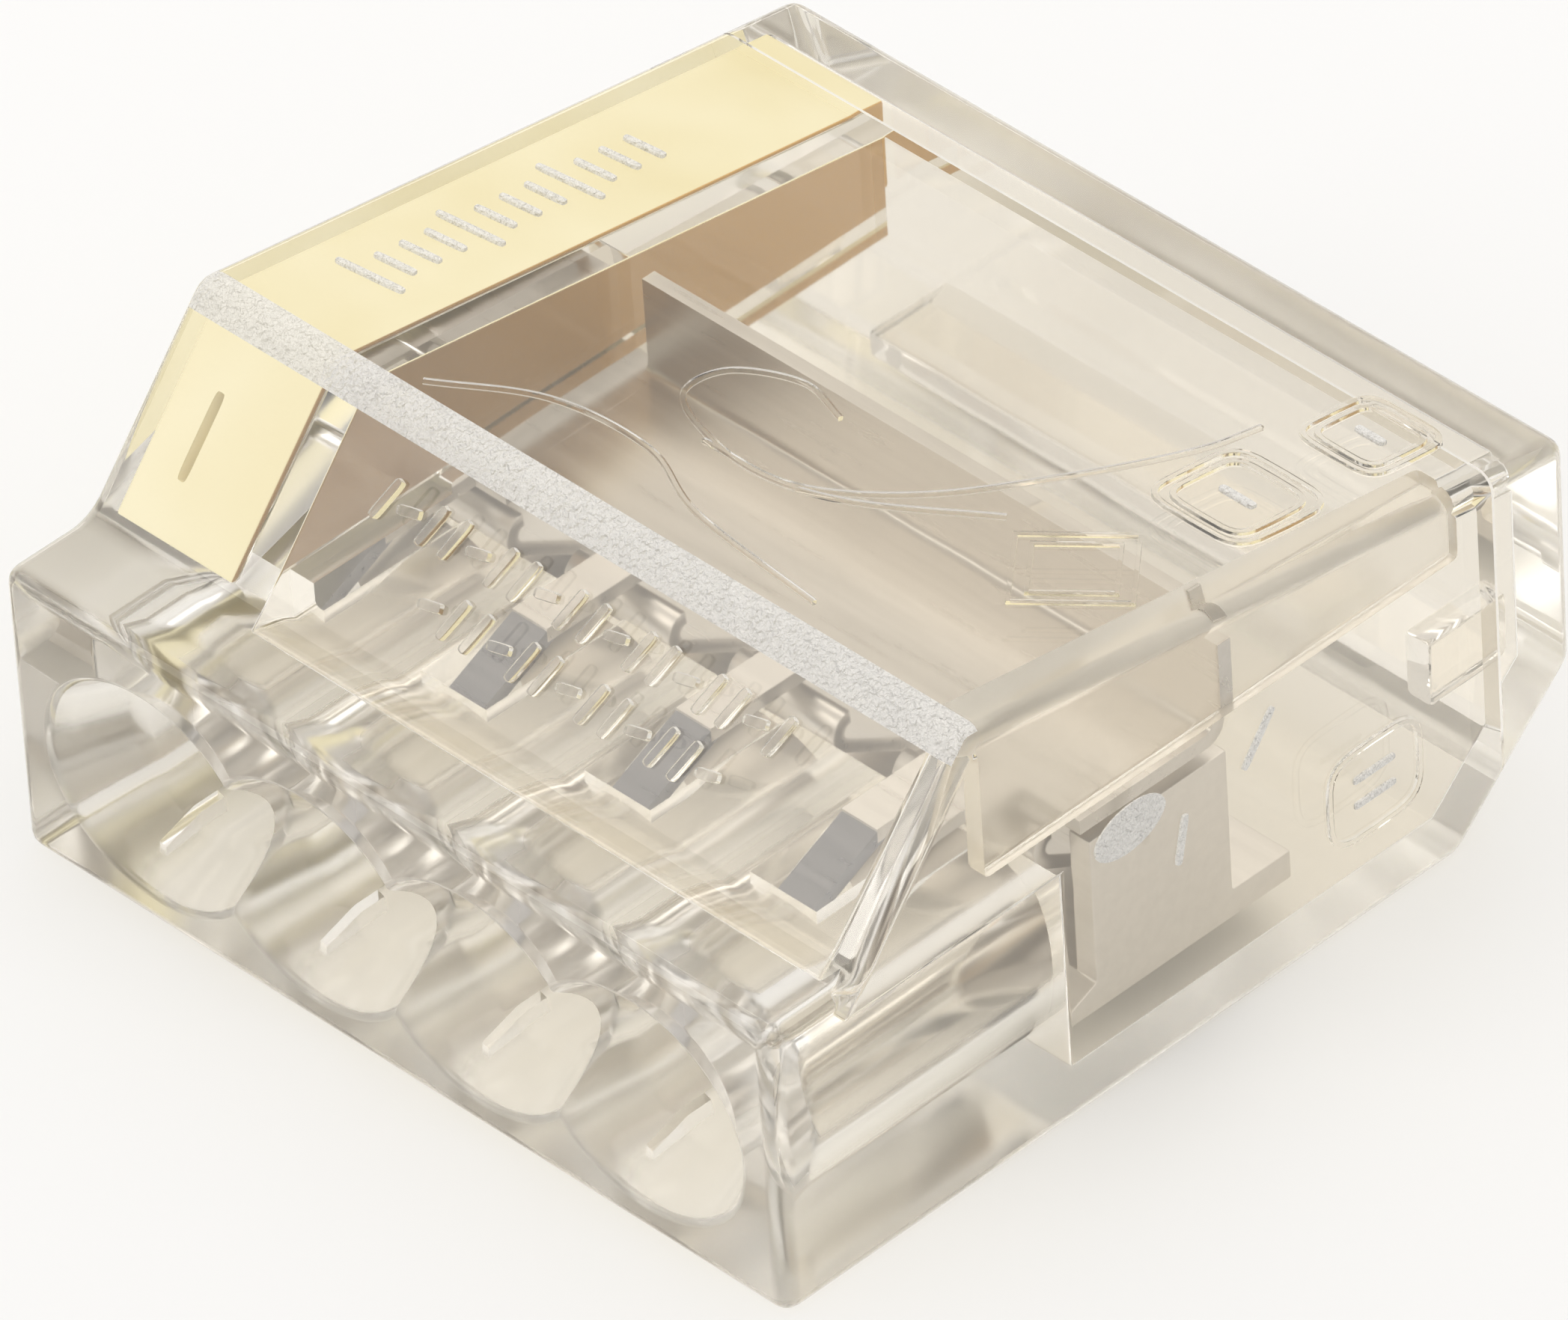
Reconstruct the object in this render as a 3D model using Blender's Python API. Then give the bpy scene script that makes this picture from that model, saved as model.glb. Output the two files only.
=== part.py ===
"""Four-port push-in wire connector, modelled as an assembly.

The connector stands on its flat bottom. +X runs across the row of ports, -Y is the wire-entry face, +Y the
rear cap, and the origin is the centre of the bounding box's bottom face. All sizes are in metres.
"""

import math

import bmesh
import bpy

MM = 0.001

# Outer wedge of the housing and its rear cap
WIDTH = 18.8 * MM
DEPTH = 19.3 * MM
HEIGHT = 9.7 * MM
COLLAR_HEIGHT = 6.2 * MM
COLLAR_DEPTH = 2.0 * MM
RIDGE_FROM_FRONT = 4.98 * MM
BACK_HEIGHT = 7.46 * MM
BACK_CHAMFER_HEIGHT = 2.65 * MM
BACK_CHAMFER_LENGTH = 2.94 * MM
CORNER_RADIUS = 0.35 * MM
CORNER_SEGMENTS = 3
SHARP_ANGLE = math.radians(35)

# Walls and clearances
SIDE_WALL = 0.9 * MM
TOP_WALL = 0.85 * MM
FLOOR = 0.8 * MM
SLOPE_WALL = 0.8 * MM
BACK_WALL = 1.0 * MM
GAP = 0.3 * MM
REACH = 2.0 * MM

# Wire ports
PORTS = 4
PITCH = 4.0 * MM
PORT_HEIGHT = 2.9 * MM
PORT_RADIUS = 1.75 * MM
MOUTH_HALF_WIDTH = 2.5 * MM
MOUTH_HALF_HEIGHT = 2.2 * MM
FUNNEL_DEPTH = 1.65 * MM
PORT_BLOCK_DEPTH = 7.2 * MM
PORT_ROOF = 0.4 * MM
PORT_SIDES = 40

# Chambers behind the ports
MID_HEIGHT = 4.7 * MM
CHAMBER_OVERLAP = 0.5 * MM
RIB_LEFT = -6.1 * MM
RIB_RIGHT = -5.4 * MM
RIB_FOOT = 5.8 * MM
CAP_SEAM = 17.4 * MM

# Metal: busbar below the wires, spring plate above them, one tongue for each port
METAL_FRONT = 7.6 * MM
METAL_BACK = 11.6 * MM
METAL_HALF_WIDTH = 8.1 * MM
BUSBAR_BOTTOM = 1.2 * MM
BUSBAR_THICKNESS = 0.6 * MM
BUSBAR_BACK = 13.0 * MM
BUSBAR_LEAD_IN = 0.7 * MM
CHEEK_THICKNESS = 0.5 * MM
CHEEK_TOP = 4.9 * MM
SPRING_THICKNESS = 0.3 * MM
PLATE_BOTTOM = 5.2 * MM
NECK_WIDTH = 1.1 * MM
NECK_BEND = 5.9 * MM
NECK_FRONT = 4.1 * MM
NECK_ANGLE = math.radians(25)
NECK_ROOT_OVERLAP = 0.8 * MM
FLANGE_TOP = 7.5 * MM

# Spring tongues, which turn about the middle of the curl at their root
HINGE_FROM_FRONT = 8.2 * MM
HINGE_HEIGHT = 4.45 * MM
CURL_RADIUS = 0.3 * MM
CURL_STEPS = 8
TONGUE_WIDTH = 2.6 * MM
TONGUE_ANGLE = math.radians(30)

# Colour-code block, in the pocket left of the rib
POCKET_LEFT = -9.05 * MM
BLOCK_FOOT = 5.8 * MM
BLOCK_REAR_FOOT = 4.9 * MM
BLOCK_STEP = 12.3 * MM

# Latch tongues and lip of the rear cap
LATCH_THICKNESS = 0.6 * MM
LATCH_BOTTOM = 2.9 * MM
LATCH_TOP = 4.3 * MM
LIP_BOTTOM = 2.75 * MM
LIP_THICKNESS = 0.6 * MM
LIP_HALF_WIDTH = 5.0 * MM
PLUG_FRONT = 16.4 * MM


def clear_scene():
    for obj in list(bpy.data.objects):
        bpy.data.objects.remove(obj, do_unlink=True)


def material(name, colour, roughness, metallic=0.0, transmission=0.0):
    made = bpy.data.materials.new(name)
    made.use_nodes = True
    shader = made.node_tree.nodes["Principled BSDF"]
    shader.inputs["Base Color"].default_value = (*colour, 1.0)
    shader.inputs["Roughness"].default_value = roughness
    shader.inputs["Metallic"].default_value = metallic
    shader.inputs["Transmission Weight"].default_value = transmission
    return made


def from_front(distance):
    """World Y of a plane that lies this far behind the wire-entry face."""
    return distance - DEPTH / 2


def port_centres():
    return [(number - (PORTS - 1) / 2) * PITCH for number in range(PORTS)]


def top_height(distance):
    """Height of the sloping top face at this distance from the front."""
    fall = (HEIGHT - BACK_HEIGHT) / (DEPTH - RIDGE_FROM_FRONT)
    return HEIGHT - fall * (distance - RIDGE_FROM_FRONT)


def chamfer_height(distance):
    """Height of the rear bottom chamfer at this distance from the front."""
    return (distance - (DEPTH - BACK_CHAMFER_LENGTH)) * BACK_CHAMFER_HEIGHT / BACK_CHAMFER_LENGTH


def slope_distance(height, inset=0.0):
    """Distance of the front slope at this height, set back by a wall that is measured square to it."""
    run = RIDGE_FROM_FRONT - COLLAR_DEPTH
    rise = HEIGHT - COLLAR_HEIGHT
    setback = inset * math.hypot(run, rise) / rise
    return COLLAR_DEPTH + (height - COLLAR_HEIGHT) * run / rise + setback


def outer_outline():
    return [
        (0.0, 0.0),
        (DEPTH - BACK_CHAMFER_LENGTH, 0.0),
        (DEPTH, BACK_CHAMFER_HEIGHT),
        (DEPTH, BACK_HEIGHT),
        (RIDGE_FROM_FRONT, HEIGHT),
        (COLLAR_DEPTH, COLLAR_HEIGHT),
        (0.0, COLLAR_HEIGHT),
    ]


def ceiling_outline(foot, rear, clearance=0.0):
    """Space under the slope and the top wall, down to foot, as far back as rear."""
    wall = SLOPE_WALL + clearance
    ceiling = TOP_WALL + clearance
    start = slope_distance(foot, wall)
    slope_rate = (RIDGE_FROM_FRONT - COLLAR_DEPTH) / (HEIGHT - COLLAR_HEIGHT)
    top_rate = (HEIGHT - BACK_HEIGHT) / (DEPTH - RIDGE_FROM_FRONT)
    # The inner slope and the ceiling are straight lines, which meet at the inner ridge
    ridge = foot + (top_height(start) - ceiling - foot) / (1 + top_rate * slope_rate)
    return [
        (start, foot),
        (rear, foot),
        (rear, top_height(rear) - ceiling),
        (slope_distance(ridge, wall), ridge),
    ]


def link(name, mesh):
    obj = bpy.data.objects.new(name, mesh)
    bpy.context.scene.collection.objects.link(obj)
    return obj


def mesh_from(bm, name):
    """Mesh with its faces turned outwards, smooth over its round stretches."""
    bmesh.ops.recalc_face_normals(bm, faces=bm.faces)
    mesh = bpy.data.meshes.new(name)
    bm.to_mesh(mesh)
    bm.free()
    mesh.shade_smooth()
    mesh.set_sharp_from_angle(angle=SHARP_ANGLE)
    return mesh


def prism_mesh(outline, left, right, origin=(0.0, 0.0)):
    """A (distance, height) outline swept across X, with its mesh measured from origin."""
    bm = bmesh.new()
    corners = [
        bm.verts.new((left, from_front(distance) - origin[0], height - origin[1]))
        for distance, height in outline
    ]
    face = bm.faces.new(corners)
    swept = bmesh.ops.extrude_face_region(bm, geom=[face])
    moved = [item for item in swept["geom"] if isinstance(item, bmesh.types.BMVert)]
    bmesh.ops.translate(bm, verts=moved, vec=(right - left, 0.0, 0.0))
    return bm


def prism(name, outline, left, right):
    return link(name, mesh_from(prism_mesh(outline, left, right), name))


def block_outline(front, rear, bottom, top):
    return [(front, bottom), (rear, bottom), (rear, top), (front, top)]


def rounded_body(name):
    """The whole outer wedge, with every convex edge rounded."""
    bm = prism_mesh(outer_outline(), -WIDTH / 2, WIDTH / 2)
    bmesh.ops.recalc_face_normals(bm, faces=bm.faces)
    convex = [edge for edge in bm.edges if edge.is_convex]
    bmesh.ops.bevel(
        bm, geom=convex, offset=CORNER_RADIUS, segments=CORNER_SEGMENTS, profile=0.5, affect="EDGES"
    )
    return link(name, mesh_from(bm, name))


def port_cutter(name, centre):
    """Elliptical funnel that narrows to a round barrel, lofted ring by ring."""
    flare = (MOUTH_HALF_WIDTH - PORT_RADIUS) / FUNNEL_DEPTH
    lift = (MOUTH_HALF_HEIGHT - PORT_RADIUS) / FUNNEL_DEPTH
    ahead = REACH / 2
    rings = [
        (-ahead, MOUTH_HALF_WIDTH + flare * ahead, MOUTH_HALF_HEIGHT + lift * ahead),
        (FUNNEL_DEPTH, PORT_RADIUS, PORT_RADIUS),
        (PORT_BLOCK_DEPTH + REACH / 2, PORT_RADIUS, PORT_RADIUS),
    ]
    bm = bmesh.new()
    loops = []
    for distance, half_width, half_height in rings:
        turn = 2 * math.pi / PORT_SIDES
        loops.append(
            [
                bm.verts.new(
                    (
                        centre + half_width * math.cos(turn * side),
                        from_front(distance),
                        PORT_HEIGHT + half_height * math.sin(turn * side),
                    )
                )
                for side in range(PORT_SIDES)
            ]
        )
    for near, far in zip(loops, loops[1:]):
        for side in range(PORT_SIDES):
            after = (side + 1) % PORT_SIDES
            bm.faces.new((near[side], near[after], far[after], far[side]))
    bm.faces.new(loops[0])
    bm.faces.new(loops[-1])
    return link(name, mesh_from(bm, name))


def combine(target, tool, operation):
    """Adds or cuts tool, which becomes a hidden helper."""
    modifier = target.modifiers.new(tool.name, "BOOLEAN")
    modifier.operation = operation
    modifier.object = tool
    tool.hide_render = True
    tool.display_type = "WIRE"


def cut_chambers(housing):
    inner = WIDTH / 2 - SIDE_WALL
    rear = CAP_SEAM + REACH
    wall_rise = FLOOR * math.hypot(BACK_CHAMFER_HEIGHT, BACK_CHAMFER_LENGTH) / BACK_CHAMFER_LENGTH
    floor_end = DEPTH - BACK_CHAMFER_LENGTH + (FLOOR - wall_rise) * BACK_CHAMFER_LENGTH / BACK_CHAMFER_HEIGHT
    overlap = MID_HEIGHT - CHAMBER_OVERLAP
    wire_chamber = [
        (PORT_BLOCK_DEPTH, FLOOR),
        (floor_end, FLOOR),
        (rear, chamfer_height(rear) + wall_rise),
        (rear, MID_HEIGHT),
        (PORT_BLOCK_DEPTH, MID_HEIGHT),
    ]
    roof = PORT_HEIGHT + PORT_RADIUS + PORT_ROOF
    spring_space = block_outline(PORT_BLOCK_DEPTH, METAL_BACK + GAP, overlap, RIB_FOOT)
    rear_space = block_outline(METAL_BACK, rear, overlap, RIB_FOOT)
    for name, outline, left, right in (
        ("cut_wire_chamber", wire_chamber, -inner, inner),
        ("cut_upper_chamber", ceiling_outline(roof, rear), RIB_RIGHT, inner),
        ("cut_rear_space", rear_space, RIB_RIGHT, inner),
        ("cut_block_pocket", ceiling_outline(roof, rear), POCKET_LEFT, RIB_LEFT),
        ("cut_below_rib", spring_space, -inner, inner),
        ("cut_below_block", rear_space, POCKET_LEFT, RIB_LEFT),
    ):
        combine(housing, prism(name, outline, left, right), "DIFFERENCE")


def neck_line():
    """Centre line of a neck: up to the rear from its tip, then level into the plate."""
    middle = PLATE_BOTTOM + SPRING_THICKNESS / 2
    return [
        (NECK_FRONT, middle - (NECK_BEND - NECK_FRONT) * math.tan(NECK_ANGLE)),
        (NECK_BEND, middle),
        (METAL_FRONT + NECK_ROOT_OVERLAP, middle),
    ]


def cut_neck_slots(housing):
    """Slots in the roof of the port block, which leave room for the necks and open into the barrels."""
    clearance = GAP + SPRING_THICKNESS / 2 / math.cos(NECK_ANGLE)
    (front, low), (bend, high), _ = neck_line()
    top = PORT_HEIGHT + PORT_RADIUS + PORT_ROOF + CHAMBER_OVERLAP
    outline = [
        (front - GAP, low - GAP * math.tan(NECK_ANGLE) - clearance),
        (bend, high - clearance),
        (PORT_BLOCK_DEPTH + REACH / 2, high - clearance),
        (PORT_BLOCK_DEPTH + REACH / 2, top),
        (front - GAP, top),
    ]
    half_width = NECK_WIDTH / 2 + GAP
    for number, centre in enumerate(port_centres(), 1):
        slot = prism(f"cut_neck_slot_{number}", outline, centre - half_width, centre + half_width)
        combine(housing, slot, "DIFFERENCE")


def build_housing(clear):
    housing = rounded_body("housing")
    housing.data.materials.append(clear)
    beyond = block_outline(CAP_SEAM, DEPTH + REACH, -REACH, HEIGHT + REACH)
    combine(housing, prism("cut_housing_rear", beyond, -WIDTH, WIDTH), "DIFFERENCE")
    cut_chambers(housing)
    cut_neck_slots(housing)
    for number, centre in enumerate(port_centres(), 1):
        combine(housing, port_cutter(f"cut_port_{number}", centre), "DIFFERENCE")
    return housing


def build_rear_cap(clear):
    cap = rounded_body("rear_cap")
    cap.data.materials.append(clear)
    front = CAP_SEAM + GAP
    inner = WIDTH / 2 - SIDE_WALL
    back = DEPTH - BACK_WALL
    ahead = block_outline(-REACH, front, -REACH, HEIGHT + REACH)
    combine(cap, prism("cut_cap_front", ahead, -WIDTH, WIDTH), "DIFFERENCE")
    rise = BACK_WALL * math.hypot(BACK_CHAMFER_HEIGHT, BACK_CHAMFER_LENGTH) / BACK_CHAMFER_LENGTH
    start = front - REACH
    hollow = [
        (start, chamfer_height(start) + rise),
        (back, chamfer_height(back) + rise),
        (back, top_height(back) - TOP_WALL),
        (start, top_height(start) - TOP_WALL),
    ]
    combine(cap, prism("cut_cap_hollow", hollow, -inner, inner), "DIFFERENCE")
    foot = BLOCK_REAR_FOOT - GAP
    pocket = [(start, foot), (back, foot), *hollow[2:]]
    combine(cap, prism("cut_cap_pocket", pocket, POCKET_LEFT, RIB_LEFT), "DIFFERENCE")
    anchored = DEPTH - BACK_WALL / 2
    latch = block_outline(PLUG_FRONT, anchored, LATCH_BOTTOM, LATCH_TOP)
    outside = inner - GAP
    for side, left in (("left", -outside), ("right", outside - LATCH_THICKNESS)):
        combine(cap, prism(f"add_latch_{side}", latch, left, left + LATCH_THICKNESS), "UNION")
    lip = block_outline(PLUG_FRONT, anchored, LIP_BOTTOM, LIP_BOTTOM + LIP_THICKNESS)
    combine(cap, prism("add_cap_lip", lip, -LIP_HALF_WIDTH, LIP_HALF_WIDTH), "UNION")
    return cap


def build_color_block(yellow):
    """Wedge that fills the pocket beside the rib and shows through the slope and the top."""
    rear = DEPTH - BACK_WALL - GAP
    front, _, behind, ridge = ceiling_outline(BLOCK_FOOT, rear, GAP)
    step = [(BLOCK_STEP, BLOCK_FOOT), (BLOCK_STEP, BLOCK_REAR_FOOT), (rear, BLOCK_REAR_FOOT)]
    outline = [front, *step, behind, ridge]
    block = prism("color_block", outline, POCKET_LEFT + GAP, RIB_LEFT - GAP)
    block.data.materials.append(yellow)
    return block


def build_busbar(tin):
    """Tin-plated copper trough: a bottom plate with a lead-in edge, and a cheek at each end."""
    top = BUSBAR_BOTTOM + BUSBAR_THICKNESS
    middle = BUSBAR_BOTTOM + BUSBAR_THICKNESS / 2
    plate = [
        (METAL_FRONT, BUSBAR_BOTTOM),
        (BUSBAR_BACK, BUSBAR_BOTTOM),
        (BUSBAR_BACK, top),
        (METAL_FRONT + BUSBAR_LEAD_IN, top),
        (METAL_FRONT, middle),
    ]
    busbar = prism("busbar", plate, -METAL_HALF_WIDTH, METAL_HALF_WIDTH)
    busbar.data.materials.append(tin)
    cheek = block_outline(METAL_FRONT + BUSBAR_LEAD_IN, METAL_BACK, middle, CHEEK_TOP)
    for side, left in (("left", -METAL_HALF_WIDTH), ("right", METAL_HALF_WIDTH - CHEEK_THICKNESS)):
        combine(busbar, prism(f"add_cheek_{side}", cheek, left, left + CHEEK_THICKNESS), "UNION")
    return busbar


def strip_outline(centre_line, thickness):
    """Closed outline of a strip of sheet metal that follows a (distance, height) centre line."""
    near, far = [], []
    last = len(centre_line) - 1
    for index, (distance, height) in enumerate(centre_line):
        before = centre_line[max(index - 1, 0)]
        after = centre_line[min(index + 1, last)]
        run, rise = after[0] - before[0], after[1] - before[1]
        length = math.hypot(run, rise)
        across = (-rise / length * thickness / 2, run / length * thickness / 2)
        near.append((distance + across[0], height + across[1]))
        far.append((distance - across[0], height - across[1]))
    return near + far[::-1]


def build_spring_plate(steel):
    """Spring-steel plate over the wires, with a flange along its rear edge and a neck for each port."""
    front, top = METAL_FRONT + GAP, PLATE_BOTTOM + SPRING_THICKNESS
    outline = block_outline(front, METAL_BACK, PLATE_BOTTOM, top)
    plate = prism("spring_plate", outline, -METAL_HALF_WIDTH, METAL_HALF_WIDTH)
    plate.data.materials.append(steel)
    flange = block_outline(METAL_BACK - SPRING_THICKNESS, METAL_BACK, PLATE_BOTTOM, FLANGE_TOP)
    combine(plate, prism("add_flange", flange, RIB_RIGHT + GAP, METAL_HALF_WIDTH), "UNION")
    for number, centre in enumerate(port_centres(), 1):
        shape = strip_outline(neck_line(), SPRING_THICKNESS)
        tool = prism(f"add_neck_{number}", shape, centre - NECK_WIDTH / 2, centre + NECK_WIDTH / 2)
        combine(plate, tool, "UNION")
    return plate


def tongue_centre_line():
    """Curl that starts under the plate, turns forward about the hinge, and runs down to the rear."""
    first = math.pi / 2
    last = math.pi + math.pi / 2 - TONGUE_ANGLE
    line = []
    for step in range(CURL_STEPS + 1):
        angle = first + (last - first) * step / CURL_STEPS
        distance = HINGE_FROM_FRONT + CURL_RADIUS * math.cos(angle)
        line.append((distance, HINGE_HEIGHT + CURL_RADIUS * math.sin(angle)))
    distance, height = line[-1]
    tip_height = BUSBAR_BOTTOM + BUSBAR_THICKNESS + GAP + SPRING_THICKNESS / 2
    line.append((distance + (height - tip_height) / math.tan(TONGUE_ANGLE), tip_height))
    return line


def build_spring_tongues(steel):
    origin = (from_front(HINGE_FROM_FRONT), HINGE_HEIGHT)
    outline = strip_outline(tongue_centre_line(), SPRING_THICKNESS)
    shared = mesh_from(prism_mesh(outline, -TONGUE_WIDTH / 2, TONGUE_WIDTH / 2, origin), "spring_tongue")
    shared.materials.append(steel)
    for number, centre in enumerate(port_centres(), 1):
        tongue = link(f"spring_tongue_{number}", shared)
        tongue.location = (centre, *origin)


def main():
    clear_scene()
    clear = material("clear_polycarbonate", (0.86, 0.82, 0.74), 0.05, transmission=1.0)
    yellow = material("yellow_polycarbonate", (0.84, 0.70, 0.32), 0.35)
    tin = material("tin_plated_copper", (0.66, 0.65, 0.63), 0.35, metallic=1.0)
    steel = material("spring_steel", (0.52, 0.52, 0.53), 0.28, metallic=1.0)
    build_housing(clear)
    build_rear_cap(clear)
    build_color_block(yellow)
    build_busbar(tin)
    build_spring_plate(steel)
    build_spring_tongues(steel)


main()
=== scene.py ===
"""Looks of a four-port push-in wire connector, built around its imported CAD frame.

The connector stands on its flat bottom: +X runs across the row of ports, -Y is the wire-entry face and +Y the
rear cap. All sizes are in metres. Distances called "back" or "distance" run from the wire-entry face to the
rear.
"""

import logging
import math
from dataclasses import dataclass
from enum import Enum

import bpy
import numpy as np
from mathutils import Matrix, Vector


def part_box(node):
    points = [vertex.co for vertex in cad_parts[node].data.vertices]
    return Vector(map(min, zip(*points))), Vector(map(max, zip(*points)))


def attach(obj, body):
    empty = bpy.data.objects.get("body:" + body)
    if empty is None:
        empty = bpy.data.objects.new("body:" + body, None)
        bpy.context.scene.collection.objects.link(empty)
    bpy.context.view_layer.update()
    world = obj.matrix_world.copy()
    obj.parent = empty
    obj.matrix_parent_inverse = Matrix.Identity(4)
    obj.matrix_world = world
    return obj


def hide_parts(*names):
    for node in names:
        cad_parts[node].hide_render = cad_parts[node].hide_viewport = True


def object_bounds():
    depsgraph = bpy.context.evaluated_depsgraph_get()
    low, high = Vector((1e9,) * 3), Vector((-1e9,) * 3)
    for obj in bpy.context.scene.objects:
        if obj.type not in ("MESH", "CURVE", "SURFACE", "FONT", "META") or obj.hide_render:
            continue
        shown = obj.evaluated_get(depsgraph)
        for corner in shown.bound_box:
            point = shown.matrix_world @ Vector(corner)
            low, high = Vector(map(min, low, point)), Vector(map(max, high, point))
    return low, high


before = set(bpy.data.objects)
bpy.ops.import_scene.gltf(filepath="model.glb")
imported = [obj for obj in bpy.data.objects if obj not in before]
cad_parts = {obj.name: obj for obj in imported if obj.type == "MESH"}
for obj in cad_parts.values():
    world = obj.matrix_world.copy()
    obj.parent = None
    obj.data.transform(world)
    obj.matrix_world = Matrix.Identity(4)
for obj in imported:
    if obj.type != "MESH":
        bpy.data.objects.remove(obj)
CAD_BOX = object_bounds()

MM = 0.001
LOG = logging.getLogger("connector")


# --------------------------------------------------------------------------------------------------
# Surfaces
# --------------------------------------------------------------------------------------------------


class Join(Enum):
    """How a tool piece changes the piece it is combined with."""

    CUT = "DIFFERENCE"
    ADD = "UNION"


class Surface(Enum):
    """Material slots of a clear piece."""

    POLISHED = 0
    FROSTED = 1
    SATIN = 2
    MATT = 3
    MILKY = 4


class Steel(Enum):
    """Material slots of the spring plate: plain steel, and the same steel painted darker as shade on the
    necks.
    """

    BRIGHT = 0
    NECK_SHADE = 1


def mesh_piece(name: str, points: np.ndarray, faces: list[list[int]]) -> bpy.types.Object:
    """Puts points and faces into a new object at the origin.

    Args:
        name: Name of the object and its mesh.
        points: Array of shape (n, 3).
        faces: Corner indices of each face, counter-clockwise from outside.

    Returns:
        The linked object.
    """
    mesh = bpy.data.meshes.new(name)
    mesh.from_pydata(points.reshape(-1, 3).tolist(), [], faces)
    mesh.update()
    piece = bpy.data.objects.new(name, mesh)
    bpy.context.scene.collection.objects.link(piece)
    return piece


def loft(name: str, rings: np.ndarray, closed: bool = False) -> bpy.types.Object:
    """Skins a grid of rings: ring r and side s give a point, and each cell of the grid is one face.

    Args:
        name: Name of the piece.
        rings: Array of shape (rings, sides, 3), each ring closed on itself.
        closed: True joins the last ring to the first, False caps both ends.

    Returns:
        A closed mesh with its faces pointing outwards.
    """
    count, sides = rings.shape[:2]
    row = np.arange(count if closed else count - 1)[:, None]
    side = np.arange(sides)[None, :]
    after, across = (row + 1) % count, (side + 1) % sides
    corners = (row * sides + side, after * sides + side, after * sides + across, row * sides + across)
    faces = np.stack(corners, axis=-1).reshape(-1, 4).tolist()
    if not closed:
        faces += [list(range(sides)), list(range(count * sides - 1, (count - 1) * sides - 1, -1))]
    piece = mesh_piece(name, rings, faces)
    turn_outwards(piece)
    return piece


def turn_outwards(piece: bpy.types.Object) -> None:
    """Flips the faces of a closed mesh if the signed sum of its tetrahedra to the origin is negative.

    Args:
        piece: Object whose mesh is closed.
    """
    mesh = piece.data
    mesh.calc_loop_triangles()
    points = np.empty(len(mesh.vertices) * 3)
    mesh.vertices.foreach_get("co", points)
    corners = np.empty(len(mesh.loop_triangles) * 3, np.int32)
    mesh.loop_triangles.foreach_get("vertices", corners)
    if np.linalg.det(points.reshape(-1, 3)[corners.reshape(-1, 3)]).sum() < 0:
        mesh.flip_normals()


def prism(name: str, outline: np.ndarray, left: float, right: float) -> bpy.types.Object:
    """Sweeps an outline of (distance, height) points across X.

    Args:
        name: Name of the piece.
        outline: Array of shape (n, 2).
        left: X of the first end.
        right: X of the other end.

    Returns:
        The closed prism.
    """
    outline = np.asarray(outline, float)
    back = LAYOUT.y(outline[:, 0])
    rings = np.stack([np.stack([np.full_like(back, x), back, outline[:, 1]], axis=-1) for x in (left, right)])
    return loft(name, rings)


def block_outline(front: float, rear: float, bottom: float, top: float) -> np.ndarray:
    """The (distance, height) corners of a rectangle."""
    return np.array([(front, bottom), (rear, bottom), (rear, top), (front, top)])


def strip_outline(line: np.ndarray, thickness: float) -> np.ndarray:
    """Outline of a strip of sheet metal: each point of the centre line is moved half a thickness to both
    sides, along the direction square to the line there.

    Args:
        line: Centre line, array of shape (n, 2).
        thickness: Thickness of the sheet.

    Returns:
        Closed outline, array of shape (2 n, 2).
    """
    along = np.gradient(line, axis=0)
    along /= np.linalg.norm(along, axis=1, keepdims=True)
    across = np.stack([-along[:, 1], along[:, 0]], axis=-1) * thickness / 2
    return np.concatenate([line + across, (line - across)[::-1]])


def round_corners(line: np.ndarray, radius: float, steps: int = 6) -> np.ndarray:
    """Replaces each inner corner of an open line by a curve that starts and ends a radius from the corner and
    follows a quadratic Bezier whose middle point is the corner.

    Args:
        line: Array of shape (n, k).
        radius: How far from the corner the curve starts.
        steps: Segments of each curve.

    Returns:
        The smoother line.
    """
    share = np.linspace(0.0, 1.0, steps + 1)[:, None]
    pieces = [line[:1]]
    for before, corner, after in zip(line, line[1:], line[2:]):
        start = corner + (before - corner) / np.linalg.norm(before - corner) * radius
        end = corner + (after - corner) / np.linalg.norm(after - corner) * radius
        pieces.append((1 - share) ** 2 * start + 2 * share * (1 - share) * corner + share**2 * end)
    return np.concatenate([*pieces, line[-1:]])


def smooth_path(points: np.ndarray, steps: int = 10) -> np.ndarray:
    """Catmull-Rom curve through points: each span is the cubic that passes its two ends with a slope, at each
    end, of half the step between that end's neighbours.

    Args:
        points: Array of shape (n, k).
        steps: Segments of each span.

    Returns:
        The curve, array of shape ((n - 1) steps + 1, k).
    """
    padded = np.concatenate([2 * points[:1] - points[1:2], points, 2 * points[-1:] - points[-2:-1]])
    slopes = (padded[2:] - padded[:-2]) / 2
    t = np.linspace(0.0, 1.0, steps, endpoint=False)[None, :, None]
    start, end = points[:-1, None], points[1:, None]
    leave, arrive = slopes[:-1, None], slopes[1:, None]
    spans = (
        (2 * t**3 - 3 * t**2 + 1) * start
        + (t**3 - 2 * t**2 + t) * leave
        + (3 * t**2 - 2 * t**3) * end
        + (t**3 - t**2) * arrive
    )
    return np.concatenate([spans.reshape(-1, points.shape[1]), points[-1:]])


def settle(piece: bpy.types.Object) -> None:
    """Applies every modifier of a piece to its mesh.

    Args:
        piece: Object whose modifiers are applied and then cleared.
    """
    graph = bpy.context.evaluated_depsgraph_get()
    applied = bpy.data.meshes.new_from_object(piece.evaluated_get(graph))
    piece.modifiers.clear()
    piece.data = applied
    applied.name = piece.name


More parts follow.
